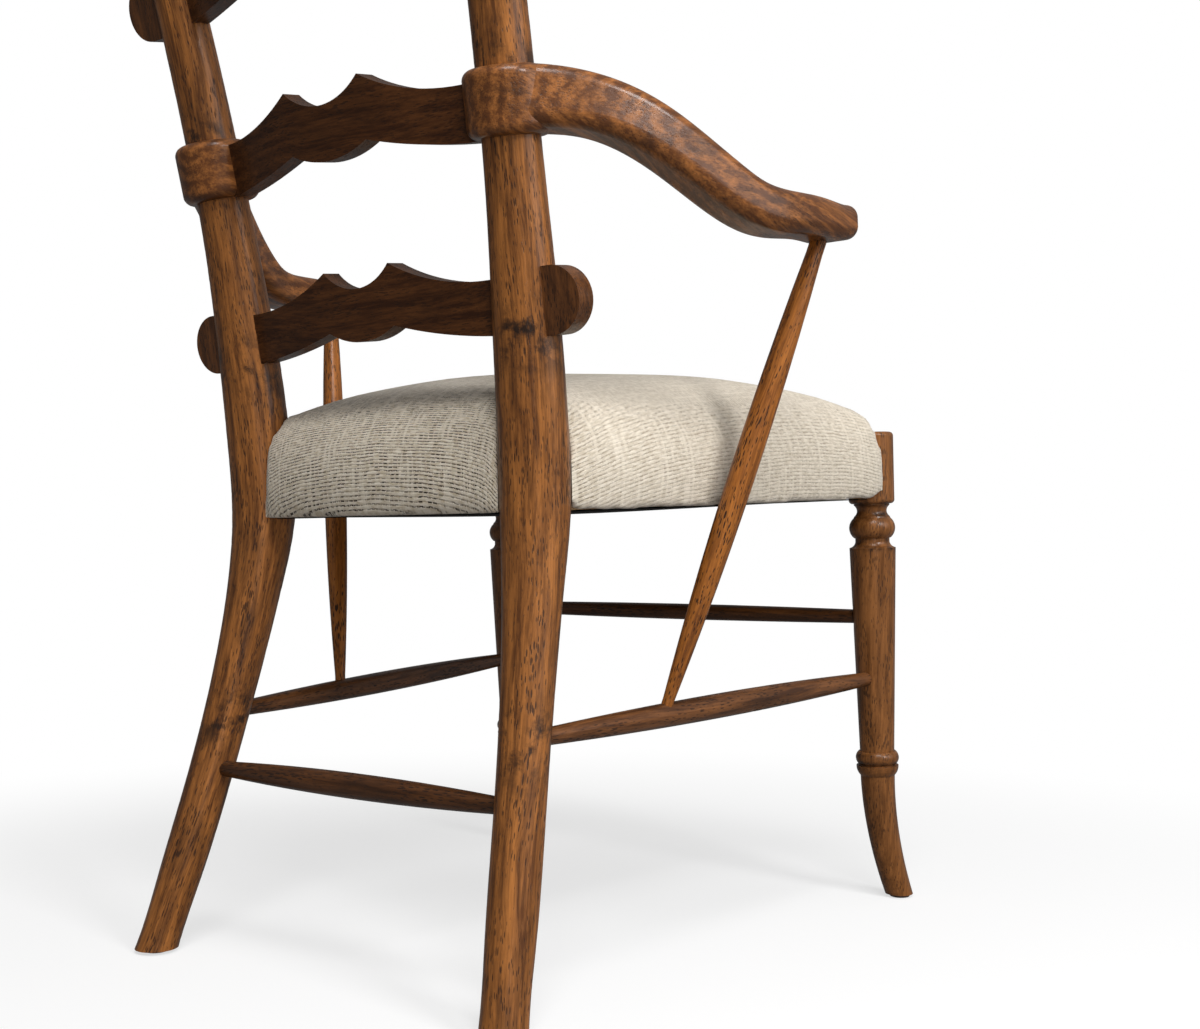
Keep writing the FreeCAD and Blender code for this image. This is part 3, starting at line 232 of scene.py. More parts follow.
def wood(name, grain_way, pith, pale, brown, glaze=(0.016, 0.008, 0.005), rings=0.3, mottle=0.5,
         pores=0.8, bent=False, joint_levels=(), joint_reach=0.03, gloss=0.2, coat=0.1):
    """Wood with its grain along a direction and its pith at an offset across the grain."""
    material, tree, shader, place = new_material(name)
    joint_share = near_levels(tree, place, joint_levels, joint_reach) if joint_levels else 0.0
    if bent:
        bend = add_node(tree, "ShaderNodeGroup", {"node_tree": post_bend}, Place=place)
        place = bend.outputs["Grain Place"]
    turn_to_grain = Vector(grain_way).rotation_difference(Vector((0, 0, 1))).to_euler()
    turned = add_node(tree, "ShaderNodeMapping", Vector=place, Location=pith, Rotation=turn_to_grain)
    figure = add_node(
        tree, "ShaderNodeGroup", {"node_tree": wood_figure},
        Grain_Place=turned.outputs["Vector"], Pale_Wood=(*pale, 1), Brown_Wood=(*brown, 1),
        Glaze=(*glaze, 1), Rings=rings, Mottle=mottle, Pores=pores, Joint_Glaze=joint_share,
    )
    bump = add_node(tree, "ShaderNodeBump", Strength=0.45, Distance=0.0006, Height=figure.outputs["Relief"])
    tree.links.new(figure.outputs["Colour"], shader.inputs["Base Color"])
    tree.links.new(figure.outputs["Roughness"], shader.inputs["Roughness"])
    tree.links.new(bump.outputs["Normal"], shader.inputs["Normal"])
    shader.inputs["Specular IOR Level"].default_value = gloss
    shader.inputs["Coat Weight"].default_value = coat
    shader.inputs["Coat Roughness"].default_value = 0.12
    return material


def dress(material, *names):
    """Give a material to the nodes of these names."""
    for name in names:
        for place in nodes[name].material_slots:
            place.material = material


POST_PALE = (0.38, 0.142, 0.034)
POST_BROWN = (0.092, 0.032, 0.009)
# The posts are darkened near these levels, where other parts meet them: gathered glaze and painted shade
POST_JOINTS = (0.206, 0.512, 0.700, 0.860)
for side, pith in (("left", (-0.20, -0.22, 0.3)), ("right", (-0.11, -0.12, 1.9))):
    dress(
        wood(
            f"post_walnut_{side}", (0, 0, 1), pith, POST_PALE, POST_BROWN, rings=0.25, mottle=0.45,
            bent=True, joint_levels=POST_JOINTS, joint_reach=0.05,
        ),
        f"rear_post_{side}",
    )

# Front legs
# Turned walnut legs with a block, a bobbin, a ring and a foot swept outwards, each from one straight blank.
# Stained a more even mid brown than the posts.

LEG_PALE = (0.27, 0.105, 0.030)
LEG_BROWN = (0.105, 0.038, 0.010)
# The legs are darkened in their turned grooves: glaze caught there, and painted shade in the recesses
LEG_GROOVES = (0.396, 0.386, 0.361, 0.352, 0.152, 0.146, 0.137, 0.131)
for side, pith in (("left", (-0.21, 0.22, 0.6)), ("right", (0.27, 0.31, 1.4))):
    dress(
        wood(
            f"leg_walnut_{side}", (0, 0, 1), pith, LEG_PALE, LEG_BROWN, rings=0.15, mottle=0.2, pores=0.7,
            joint_levels=LEG_GROOVES, joint_reach=0.006,
        ),
        f"front_leg_{side}",
    )

# Stretchers
# Four walnut rods, turned to a slight swell in the middle and glued into bored holes in the legs and posts.
# Darker than the legs, with the grain along each rod.

ROD_PALE = (0.20, 0.078, 0.026)
ROD_BROWN = (0.06, 0.023, 0.009)
SIDE_ROD_WAY = (0.075, -0.468, 0.017)
for side, way_x in (("left", SIDE_ROD_WAY[0]), ("right", -SIDE_ROD_WAY[0])):
    rod_way = (way_x, SIDE_ROD_WAY[1], SIDE_ROD_WAY[2])
    dress(
        wood(f"side_rod_walnut_{side}", rod_way, (0.05, 0.04, way_x * 9), ROD_PALE, ROD_BROWN, rings=0.25),
        f"side_stretcher_{side}",
    )
# The front and rear rods, under the seat, are coloured darker than the side rods: painted shade for the
# shade there
CROSS_ROD_PALE_SHADED = (0.11, 0.040, 0.012)
CROSS_ROD_BROWN_SHADED = (0.035, 0.013, 0.005)
for place, pith in (("front", (0.1, 0.2, 0.7)), ("rear", (0.2, 0.1, 1.7))):
    dress(
        wood(f"{place}_rod_walnut", (1, 0, 0), pith, CROSS_ROD_PALE_SHADED, CROSS_ROD_BROWN_SHADED, rings=0.2),
        f"{place}_stretcher",
    )

# Back slats
# Four sawn walnut boards with a scrolled outline, bowed backwards and let into mortises in the posts.
# Three of them show half-round ears outside the posts. The boards are coloured far darker than the posts as
# painted shade; the ears, lighter than their boards, carry a painted sheen.

# Painted shade: the boards' colour is darkened for faces that lie in shade
SLAT_PALE_SHADED = (0.105, 0.038, 0.012)
SLAT_BROWN_SHADED = (0.034, 0.012, 0.005)
# Painted sheen and light: the ears are coloured lighter than the boards they end
EAR_PALE_SHEEN = (0.17, 0.062, 0.018)
EAR_BROWN_SHEEN = (0.05, 0.018, 0.006)
for number, slat in enumerate(("lower", "arm", "upper", "crest")):
    dress(
        wood(
            f"shaded_slat_walnut_{slat}", (1, 0, 0), (-0.52 - 0.02 * number, -0.16, 0.8 * number),
            SLAT_PALE_SHADED, SLAT_BROWN_SHADED, rings=0.3, mottle=0.45, pores=0.6, gloss=0.1, coat=0.06,
        ),
        f"slat_{slat}",
    )
for side, pith in (("left", (0.05, 0.1, 0.4)), ("right", (0.35, 0.1, 0.9))):
    dress(
        wood(f"sheened_ear_walnut_{side}", (0, 0.25, 1), pith, EAR_PALE_SHEEN, EAR_BROWN_SHEEN, mottle=0.3),
        f"slat_ears_{side}",
    )

# Arms
# Each arm is sawn from one thick walnut board, so its straight grain swirls over the curved faces.
# It ends behind in a collar round the post. The glaze lies in cloudy patches.

ARM_PALE = (0.34, 0.125, 0.032)
ARM_BROWN = (0.100, 0.034, 0.010)
for side, pith in (("left", (-0.17, 0.66, 0.2)), ("right", (0.31, 0.63, 1.1))):
    dress(
        wood(
            f"arm_walnut_{side}", (0, 1, 0.12), pith, ARM_PALE, ARM_BROWN, rings=0.55, mottle=0.55,
            pores=0.4, coat=0.16,
        ),
        f"arm_{side}",
    )

# Arm supports
# Two slender walnut spindles that lean outwards and forwards from the side stretchers into the arms.
# Turned and stained like the posts.

SUPPORT_PALE = (0.42, 0.145, 0.026)
SUPPORT_BROWN = (0.125, 0.040, 0.009)
SUPPORT_WAY = (0.107, -0.088, 0.412)
for side, way_x in (("left", SUPPORT_WAY[0]), ("right", -SUPPORT_WAY[0])):
    support_way = (way_x, SUPPORT_WAY[1], SUPPORT_WAY[2])
    dress(
        wood(
            f"support_walnut_{side}", support_way, (0.08, 0.05, way_x * 5), SUPPORT_PALE, SUPPORT_BROWN,
            rings=0.2, mottle=0.2, pores=0.95,
        ),
        f"arm_support_{side}",
    )

# Seat frame
# Beech rails with tenons into the legs and posts, stiffened by corner blocks held with wood screws.
# Plain unstained wood, because the upholstery hides it.

BEECH_PALE = (0.55, 0.36, 0.20)
BEECH_BROWN = (0.40, 0.24, 0.12)
BEECH_FLECK = (0.24, 0.13, 0.06)
for piece, rail_way in (
    ("seat_rail_front", (1, 0, 0)), ("seat_rail_rear", (1, 0, 0)),
    ("seat_rail_left", (-0.18, 1, 0)), ("seat_rail_right", (0.18, 1, 0)), ("corner_blocks", (1, 0.4, 0)),
):
    dress(
        wood(
            f"beech_{piece}", rail_way, (0.1, 0.3, 0.2), BEECH_PALE, BEECH_BROWN, BEECH_FLECK,
            rings=0.2, mottle=0.1, pores=0.35,
        ),
        piece,
    )
STEEL_DULL = (0.50, 0.49, 0.45, 1)
STEEL_BRIGHT = (0.70, 0.69, 0.64, 1)
screw_steel, steel_tree, steel_shader, steel_place = new_material("zinc_screw_steel")
steel_cloud = noise(steel_tree, steel_place, 260.0, 4.0, 0.6)
steel_colour = mixed(steel_tree, steel_cloud, STEEL_DULL, STEEL_BRIGHT)
steel_tree.links.new(steel_colour, steel_shader.inputs["Base Color"])
steel_tree.links.new(between(steel_tree, steel_cloud, 0.2, 0.8, 0.28, 0.5), steel_shader.inputs["Roughness"])
steel_shader.inputs["Metallic"].default_value = 1.0
dress(screw_steel, "corner_block_screws")

# Seat webbing
# Three lengthwise and four crosswise jute straps, woven over and under each other and tacked to the rails.
# The ends of the crosswise straps are folded under before they are tacked.

MM = 0.001
SEAT_SLOPE = math.radians(3.0)
SEAT_ORIGIN = Vector((0.0, -274.0 * MM, 403.0 * MM))
LEG_HALF_SPACING = 235.5 * MM
POST_HALF_SPACING = 157.5 * MM
POST_BEHIND_LEG = 438.5 * MM
RAIL_RUN = POST_BEHIND_LEG / math.cos(SEAT_SLOPE)
RAIL_HEIGHT = 45.0 * MM
SIDE_LEAN = (POST_HALF_SPACING - LEG_HALF_SPACING) / RAIL_RUN
seat_to_world = Matrix.Translation(SEAT_ORIGIN) @ Matrix.Rotation(-SEAT_SLOPE, 4, "X")
STRAP_WIDTH = 50.0 * MM
STRAP_THICKNESS = 1.4 * MM
STRAP_FOLD = 20.0 * MM
STRAP_STEP = 3.0 * MM
STRAP_OVERHANG = 9.5 * MM
LONG_STRAPS = [-82.0 * MM, 0.0, 82.0 * MM]
CROSS_STRAPS = [(105.0 + 92.0 * number) * MM for number in range(4)]
strap_low = RAIL_HEIGHT + 0.75 * MM
strap_middle = RAIL_HEIGHT + 1.5 * MM
strap_high = RAIL_HEIGHT + 2.25 * MM


def make_object(name, mesh):
    """An object for a mesh, in the scene."""
    piece = bpy.data.objects.new(name, mesh)
    bpy.context.scene.collection.objects.link(piece)
    return piece


def apply_modifiers(piece):
    """Replace an object's mesh by its evaluated one."""
    bpy.context.view_layer.update()
    shown = piece.evaluated_get(bpy.context.evaluated_depsgraph_get())
    mesh = bpy.data.meshes.new_from_object(shown)
    piece.modifiers.clear()
    piece.data = mesh


# Sweeps a flat strap along each line of a mesh
strap_sweep = bpy.data.node_groups.new("strap_sweep", "GeometryNodeTree")
strap_sweep.is_modifier = True
for label, kind in (
    ("Lines", "Geometry"), ("Strap Width", "Float"),
    ("Strap Thickness", "Float"), ("Strap Cloth", "Material"),
):
    strap_sweep.interface.new_socket(label, in_out="INPUT", socket_type="NodeSocket" + kind)
strap_sweep.interface.new_socket("Straps", in_out="OUTPUT", socket_type="NodeSocketGeometry")
sweep_in = strap_sweep.nodes.new("NodeGroupInput")
sweep_out = strap_sweep.nodes.new("NodeGroupOutput")
strap_lines = add_node(strap_sweep, "GeometryNodeMeshToCurve", Mesh=sweep_in.outputs["Lines"])
level_lines = add_node(
    strap_sweep, "GeometryNodeSetCurveNormal", {"mode": "Z_UP"}, Curve=strap_lines.outputs["Curve"]
)
strap_profile = add_node(
    strap_sweep, "GeometryNodeCurvePrimitiveQuadrilateral",
    Width=sweep_in.outputs["Strap Width"], Height=sweep_in.outputs["Strap Thickness"],
)
swept_straps = add_node(
    strap_sweep, "GeometryNodeCurveToMesh", Curve=level_lines.outputs["Curve"],
    Profile_Curve=strap_profile.outputs["Curve"], Fill_Caps=True,
)
real_straps = add_node(strap_sweep, "GeometryNodeRealizeInstances", Geometry=swept_straps.outputs["Mesh"])
dressed_straps = add_node(
    strap_sweep, "GeometryNodeSetMaterial",
    Geometry=real_straps.outputs["Geometry"], Material=sweep_in.outputs["Strap Cloth"],
)
strap_sweep.links.new(dressed_straps.outputs["Geometry"], sweep_out.inputs["Straps"])

JUTE_PITCH = 2.4 * MM
JUTE_BROWN = (0.16, 0.095, 0.04, 1)
JUTE_STRAW = (0.46, 0.33, 0.18, 1)
jute, jute_tree, jute_shader, jute_place = new_material("jute_webbing")
jute_parts = add_node(jute_tree, "ShaderNodeSeparateXYZ", Vector=jute_place)
jute_across = maths(
    jute_tree, "PINGPONG", maths(jute_tree, "DIVIDE", jute_parts.outputs["X"], JUTE_PITCH), 0.5
)
jute_along = maths(
    jute_tree, "PINGPONG", maths(jute_tree, "DIVIDE", jute_parts.outputs["Y"], JUTE_PITCH), 0.5
)
jute_weave = maths(jute_tree, "ADD", jute_across, jute_along)
jute_fuzz = noise(jute_tree, jute_place, 700.0, 4.0, 0.7)
jute_tint = maths(jute_tree, "MULTIPLY", jute_weave, between(jute_tree, jute_fuzz, 0.3, 0.7, 0.5, 1.2), True)
jute_colour = mixed(jute_tree, jute_tint, JUTE_BROWN, JUTE_STRAW)
jute_tree.links.new(jute_colour, jute_shader.inputs["Base Color"])
jute_bump = add_node(jute_tree, "ShaderNodeBump", Strength=0.6, Distance=0.0008, Height=jute_tint)
jute_tree.links.new(jute_bump.outputs["Normal"], jute_shader.inputs["Normal"])
jute_shader.inputs["Roughness"].default_value = 0.9


def woven_heights(along, crossings, first_over, end_level):
    """Levels along a strap that passes over and under the straps it crosses."""
    known_places = [along[0]] + list(crossings) + [along[-1]]
    known_levels = [end_level]
    for number in range(len(crossings)):
        over = (number % 2 == 0) == first_over
        known_levels.append(strap_high if over else strap_low)
    known_levels.append(end_level)
    levels = []
    for place in along:
        after = min(max(int(np.searchsorted(known_places, place)), 1), len(known_places) - 1)
        gap = known_places[after] - known_places[after - 1]
        share = (place - known_places[after - 1]) / gap
        eased = share * share * (3 - 2 * share)
        levels.append(known_levels[after - 1] + (known_levels[after] - known_levels[after - 1]) * eased)
    return levels


def make_straps(name, lines):
    """Straps swept along lines of points in the seat frame."""
    points = []
    edges = []
    for line in lines:
        first = len(points)
        points += [seat_to_world @ Vector(point) for point in line]
        edges += [(first + step, first + step + 1) for step in range(len(line) - 1)]
    mesh = bpy.data.meshes.new(name)
    mesh.from_pydata(points, edges, [])
    piece = make_object(name, mesh)
    sweep = piece.modifiers.new("strap_sweep", "NODES")
    sweep.node_group = strap_sweep
    sizes = {"Strap Width": STRAP_WIDTH, "Strap Thickness": STRAP_THICKNESS, "Strap Cloth": jute}
    for socket in strap_sweep.interface.items_tree:
        if socket.name in sizes:
            sweep[socket.identifier] = sizes[socket.name]
    apply_modifiers(piece)
    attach(piece, "root")
    return piece


long_lines = []
for number, across in enumerate(LONG_STRAPS):
    along = np.arange(-STRAP_OVERHANG, RAIL_RUN + STRAP_OVERHANG, STRAP_STEP)
    levels = woven_heights(along, CROSS_STRAPS, number % 2 == 0, strap_low)
    long_lines.append([(across, place, level) for place, level in zip(along, levels)])
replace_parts(make_straps("webbing_straps_long", long_lines), "webbing_lengthwise")
cross_lines = []
for number, middle in enumerate(CROSS_STRAPS):
    half = LEG_HALF_SPACING + SIDE_LEAN * (middle + STRAP_WIDTH / 2)
    along = np.arange(-half + 1.5 * MM, half - 1.4 * MM, STRAP_STEP)
    levels = woven_heights(along, LONG_STRAPS, number % 2 == 1, strap_high)
    fold = [(-half + STRAP_FOLD, strap_low), (-half + 1.5 * MM, strap_low), (-half + 0.8 * MM, strap_middle)]
    turned_fold = [(-across, level) for across, level in reversed(fold)]
    line = fold + list(zip(along, levels)) + turned_fold
    cross_lines.append([(across, middle, level) for across, level in line])
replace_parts(make_straps("webbing_straps_cross", cross_lines), "webbing_crosswise")

# Seat cushion
# A foam pad crowned over the seat frame, under one tight cover of oatmeal chenille.
# The cover is pulled down over the rails, cut round the legs and posts, and fastened underneath.

CUSHION_SIDE = 20.5 * MM
CUSHION_FRONT_SIDE = 28.0 * MM
CUSHION_FRONT = 20.0 * MM
CUSHION_REAR = 21.0 * MM
CUSHION_CORNER = 22.0 * MM
CORNER_GROWTH = 0.8
CORNER_SHARE = 0.9
CORNER_BOW = 0.28
SIDE_STEPS = 28
CORNER_STEPS = 6
CUSHION_BOW = 5.0 * MM
CUSHION_CROWN = 123.0 * MM
COVER_START = -0.8 * MM
# Each level's share of the crown, and how far the outline is drawn in there, in millimetres
CUSHION_LEVELS = (
    (0.0, 2.6), (0.06, 0.7), (0.18, 0.0), (0.30, 0.6), (0.42, 2.5), (0.54, 6.4), (0.64, 13.0), (0.73, 23.5),
    (0.81, 38.0), (0.87, 54.0), (0.92, 78.0), (0.958, 104.0), (0.985, 140.0), (1.0, 172.0),
)


def bowed_line(start, end, bow, steps):
    """Points from start up to end, bowed out to the right by a small amount."""
    way = Vector(end) - Vector(start)
    side = Vector((way.y, -way.x)).normalized()
    points = []
    for step in range(steps):
        share = step / steps
        points.append(Vector(start) + way * share + side * bow * 4 * share * (1 - share))
    return points


def cushion_outline(inset):
    """The cushion's outline seen from above, drawn in by an inset."""
    front = LEG_HALF_SPACING + CUSHION_FRONT_SIDE - inset
    rear = POST_HALF_SPACING + CUSHION_SIDE - inset
    near = -CUSHION_FRONT + inset
    far = RAIL_RUN + CUSHION_REAR - inset
    corner = min(CUSHION_CORNER + CORNER_GROWTH * inset, CORNER_SHARE * rear)
    slant = corner * SIDE_LEAN
    corners = (
        (-front + corner, near), (front - corner, near),
        (front + slant, near + corner), (rear - slant, far - corner),
        (rear - corner, far), (-rear + corner, far),
        (-rear + slant, far - corner), (-front - slant, near + corner),
    )
    points = []
    for index, start in enumerate(corners):
        end = corners[(index + 1) % len(corners)]
        if index % 2 == 0:
            points += bowed_line(start, end, CUSHION_BOW, SIDE_STEPS)
        else:
            points += bowed_line(start, end, CORNER_BOW * corner, CORNER_STEPS)
    return points


def closed_through(name, loops):
    """A closed shape through loops of points, from the lowest to the highest."""
    shape = bmesh.new()
    rings = [[shape.verts.new(point) for point in loop] for loop in loops]
    for low, high in zip(rings, rings[1:]):
        for step in range(len(low)):
            after = (step + 1) % len(low)
            shape.faces.new((low[step], low[after], high[after], high[step]))
    shape.faces.new(rings[0][::-1])
    shape.faces.new(rings[-1])
    mesh = bpy.data.meshes.new(name)
    shape.to_mesh(mesh)
    shape.free()
    return make_object(name, mesh)


def post_centre(level, side):
    """The centre of a post at a level above the floor."""
    share = (max(level - SEAT_LEVEL, 0) / (POST_TOP - SEAT_LEVEL)) ** POST_UPPER_CURVE
    share_below = (max(SEAT_LEVEL - level, 0) / SEAT_LEVEL) ** POST_LOWER_CURVE
    outward = POST_HALF_SPACING + POST_FLARE * share + POST_SPLAY * share_below
    back = POST_BEHIND_LEG + SEAT_ORIGIN.y + POST_RECLINE * share + POST_KICK * share_below
    return Vector((side * outward, back, level))


def round_loop(centre, radius, sides=48):
    """A level circle of points."""
    points = []
    for step in range(sides):
        angle = 2 * math.pi * step / sides
        points.append(centre + Vector((math.cos(angle), math.sin(angle), 0)) * radius)
    return points


POST_ROOM = 29.2 * MM
LEG_ROOM = 23.4 * MM
POST_ROOM_FOOT = 0.34
POST_ROOM_STEP = 0.02
POST_ROOM_LOOPS = 12
LEG_ROOM_FOOT = 0.36
LEG_ROOM_TOP = 0.56
clearings = []
for side in (-1, 1):
    post_levels = [POST_ROOM_FOOT + POST_ROOM_STEP * step for step in range(POST_ROOM_LOOPS)]
    post_loops = [round_loop(post_centre(z, side), POST_ROOM) for z in post_levels]
    clearings.append(closed_through(f"post_room_{side}", post_loops))
    leg_loops = []
    for level in (LEG_ROOM_FOOT, LEG_ROOM_TOP):
        leg_loops.append(round_loop(Vector((side * LEG_HALF_SPACING, SEAT_ORIGIN.y, level)), LEG_ROOM))
    clearings.append(closed_through(f"leg_room_{side}", leg_loops))


def cut_by(piece, rooms):
    """Cut some rooms out of a closed shape."""
    for room in rooms:
        cut = piece.modifiers.new("room", "BOOLEAN")
        cut.operation = "DIFFERENCE"
        cut.solver = "EXACT"
        cut.object = room
    apply_modifiers(piece)


# The rails, blocks and webbing fill the middle of the cushion from below
FRAME_ROOM_SIDE = 12.9 * MM
FRAME_ROOM_TOP = 48.6 * MM
SLANT_STRETCH = 1.016


def frame_outline(margin, level):
    """The seat frame's outline at a level in the seat frame, a margin outside the rails' middle line."""
    points = []
    for along in (-margin, RAIL_RUN + margin):
        half = LEG_HALF_SPACING + margin * SLANT_STRETCH + SIDE_LEAN * along
        points.append([(-half, along, level), (half, along, level)])
    (front_left, front_right), (rear_left, rear_right) = points
    return [seat_to_world @ Vector(point) for point in (front_left, front_right, rear_right, rear_left)]


frame_loops = [frame_outline(FRAME_ROOM_SIDE, -20 * MM), frame_outline(FRAME_ROOM_SIDE, FRAME_ROOM_TOP)]
frame_room = closed_through("frame_room", frame_loops)

START_SHRINK = 1.5
cushion_loops = []
for share, inset in CUSHION_LEVELS:
    level = COVER_START + share * (CUSHION_CROWN - START_SHRINK * MM - COVER_START)
    outline = cushion_outline((inset + START_SHRINK) * MM)
    cushion_loops.append([seat_to_world @ Vector((point.x, point.y, level)) for point in outline])
cushion = closed_through("seat_cushion", cushion_loops)
cut_by(cushion, clearings + [frame_room])
even_skin = cushion.modifiers.new("even_skin", "REMESH")
even_skin.mode = "VOXEL"
even_skin.voxel_size = 4.8 * MM
apply_modifiers(cushion)


def mesh_places(mesh):
    """All vertex places of a mesh as an array."""
    places = np.empty(len(mesh.vertices) * 3, np.float32)
    mesh.vertices.foreach_get("co", places)
    return places.reshape(-1, 3).astype(float)


def in_seat_frame(places):
    """Places seen from the seat frame: across, along the slope from the front legs, and up."""
    turned = np.array(seat_to_world.inverted())
    return places @ turned[:3, :3].T + turned[:3, 3]


def ways_to_axes(places):
    """From each place to the axis of each post and leg, level, with the radius of the room there."""
    ways = []
    for side in (-1, 1):
        post_axis = np.array([post_centre(z, side)[:2] for z in places[:, 2]])
        ways.append((post_axis - places[:, :2], POST_ROOM, np.inf))
        leg_axis = np.array([side * LEG_HALF_SPACING, SEAT_ORIGIN.y])
        ways.append((leg_axis - places[:, :2], LEG_ROOM, LEG_ROOM_TOP))
    return ways


def room_left(places):
    """How far each place is from the nearest leg or post room."""
    nearest = np.full(len(places), np.inf)
    for way, radius, top in ways_to_axes(places):
        gap = np.maximum(np.linalg.norm(way, axis=1) - radius, places[:, 2] - top)
        nearest = np.minimum(nearest, gap)
    return nearest


CLOTH_STEPS = 20
SWELL_LIMIT = 5.0 * MM
HELD_REACH = 2.5 * MM
HELD_MARGIN = 1.5 * MM
rest_places = mesh_places(cushion.data)
rest_seat = in_seat_frame(rest_places)
frame_half = LEG_HALF_SPACING + FRAME_ROOM_SIDE + SIDE_LEAN * rest_seat[:, 1] + HELD_MARGIN
over_frame = (np.abs(rest_seat[:, 0]) < frame_half) & (rest_seat[:, 2] < FRAME_ROOM_TOP + HELD_MARGIN)
over_frame &= rest_seat[:, 1] > -FRAME_ROOM_SIDE - HELD_MARGIN
over_frame &= rest_seat[:, 1] < RAIL_RUN + FRAME_ROOM_SIDE + HELD_MARGIN
held = over_frame | (rest_seat[:, 2] < 2.0 * MM) | (room_left(rest_places) < HELD_REACH)
held_points = cushion.vertex_groups.new(name="held")
held_points.add([int(index) for index in np.flatnonzero(held)], 1.0, "REPLACE")
cloth = cushion.modifiers.new("cloth", "CLOTH")
cloth.settings.quality = 6
cloth.settings.mass = 0.35
cloth.settings.tension_stiffness = 12
cloth.settings.compression_stiffness = 12
cloth.settings.shear_stiffness = 6
cloth.settings.bending_stiffness = 1.5
cloth.settings.use_pressure = True
cloth.settings.uniform_pressure_force = 4.0
cloth.settings.vertex_group_mass = "held"
cloth.settings.effector_weights.gravity = 0.0
cloth.collision_settings.use_collision = False
for step in range(1, CLOTH_STEPS + 1):
    bpy.context.scene.frame_set(step)
apply_modifiers(cushion)
bpy.context.scene.frame_set(1)
moved = mesh_places(cushion.data) - rest_places
distance = np.linalg.norm(moved, axis=1)
allowed = SWELL_LIMIT * np.tanh(distance / SWELL_LIMIT)
moved *= (allowed / np.maximum(distance, 1e-9))[:, None]
cushion.data.vertices.foreach_set("co", (rest_places + moved).astype(np.float32).ravel())
fine_skin = cushion.modifiers.new("fine_skin", "SUBSURF")
fine_skin.levels = 1
fine_skin.render_levels = 1
apply_modifiers(cushion)
cushion.data.polygons.foreach_set("use_smooth", [True] * len(cushion.data.polygons))

# The cover is pulled tight against the legs and posts, so its points nearest to them move up to the wood
TUCK = 2.6 * MM
TUCK_REACH = 9.0 * MM
TUCK_FADE = 6.0 * MM
TUCK_OVERLAP = 0.3 * MM
places = mesh_places(cushion.data)
for way, radius, top in ways_to_axes(places):
    length = np.linalg.norm(way, axis=1)
    gap = length - radius
    pull = np.clip(1 - gap / TUCK_REACH, 0.0, 1.0) * np.clip((top - places[:, 2]) / TUCK_FADE, 0.0, 1.0)
    pull = np.minimum(pull * TUCK, np.maximum(gap + TUCK_OVERLAP, 0.0))
    places[:, :2] += way * (pull / np.maximum(length, 1e-9))[:, None]

# The hem rises a little round the front legs, where the cover is folded in
HEM_LIFT = 6.0 * MM
HEM_RISE = 18.0 * MM
HEM_REACH = 12.0 * MM
low_share = np.clip(1 - in_seat_frame(places)[:, 2] / HEM_RISE, 0.0, 1.0)
for way, radius, top in ways_to_axes(places):
    if radius == LEG_ROOM:
        gap = np.linalg.norm(way, axis=1) - radius
        places[:, 2] += HEM_LIFT * low_share * np.clip(1 - gap / HEM_REACH, 0.0, 1.0) ** 2
cushion.data.vertices.foreach_set("co", places.astype(np.float32).ravel())
cushion.data.update()

# Where each point lies on the flat cloth, in metres. The rows run across on the top, the front and the back,
# and along on the two sides, where they dip towards the posts and legs.
CORE_INSET = 55 * MM
POST_DIP_REACH = 110 * MM
LEG_DIP_REACH = 60 * MM
REAR_POST_DIP = 30 * MM
SIDE_POST_DIP = 60 * MM
SIDE_LEG_DIP = 20 * MM
REAR_WEAVE_START = 8 * MM
REAR_WEAVE_RUN = 30 * MM
SIDE_WEAVE_START = 24 * MM
SIDE_WEAVE_RUN = 26 * MM
seat_places = in_seat_frame(places)
core_half = LEG_HALF_SPACING - CORE_INSET + SIDE_LEAN * np.clip(seat_places[:, 1], 0.0, RAIL_RUN)
core = np.stack([
    np.clip(seat_places[:, 0], -core_half, core_half),
    np.clip(seat_places[:, 1], CORE_INSET, RAIL_RUN - CORE_INSET),
], axis=1)
out_way = seat_places[:, :2] - core
out_length = np.linalg.norm(out_way, axis=1)
out_way /= np.maximum(out_length, 1e-6)[:, None]
fall = np.clip(CUSHION_CROWN - seat_places[:, 2], 0.0, None)
post_dip = np.zeros(len(places))
leg_dip = np.zeros(len(places))
for way, radius, top in ways_to_axes(places):
    length = np.linalg.norm(way, axis=1)
    if radius == POST_ROOM:
        post_dip += np.exp(-length / POST_DIP_REACH)
    else:
        leg_dip += np.exp(-length / LEG_DIP_REACH)
cloth_place = np.zeros((len(places), 3), np.float32)
cloth_place[:, :2] = seat_places[:, :2] + out_way * fall[:, None]
cloth_place[:, 1] -= REAR_POST_DIP * post_dip * np.clip(out_way[:, 1], 0.0, 1.0)
# The third value tells how far down the back face a point lies; the cloth's colour uses it for painted shade
# on the back face, and the relief grows deeper there
rear_fall = np.clip((fall - REAR_WEAVE_START) / REAR_WEAVE_RUN, 0.0, 1.0)
cloth_place[:, 2] = np.clip(out_way[:, 1], 0.0, 1.0) * rear_fall
side_place = np.zeros((len(places), 3), np.float32)
side_place[:, 0] = seat_places[:, 1]
side_place[:, 1] = fall - SIDE_POST_DIP * post_dip - SIDE_LEG_DIP * leg_dip
sideways = np.clip((np.abs(out_way[:, 0]) - np.abs(out_way[:, 1])) * 1.2 + 0.5, 0.0, 1.0)
side_place[:, 2] = sideways * np.clip((fall - SIDE_WEAVE_START) / SIDE_WEAVE_RUN, 0.0, 1.0)
for name, values in (("thread_place", cloth_place), ("side_thread_place", side_place)):
    stored = cushion.data.attributes.new(name, "FLOAT_VECTOR", "POINT")
    stored.data.foreach_set("vector", values.ravel())

chenille, cloth_tree, cloth_shader, cushion_place = new_material("oatmeal_chenille")
ROW_PITCH = 3.3 * MM
COLUMN_PITCH = 5.2 * MM
UPRIGHT_PITCH = 2.8 * MM


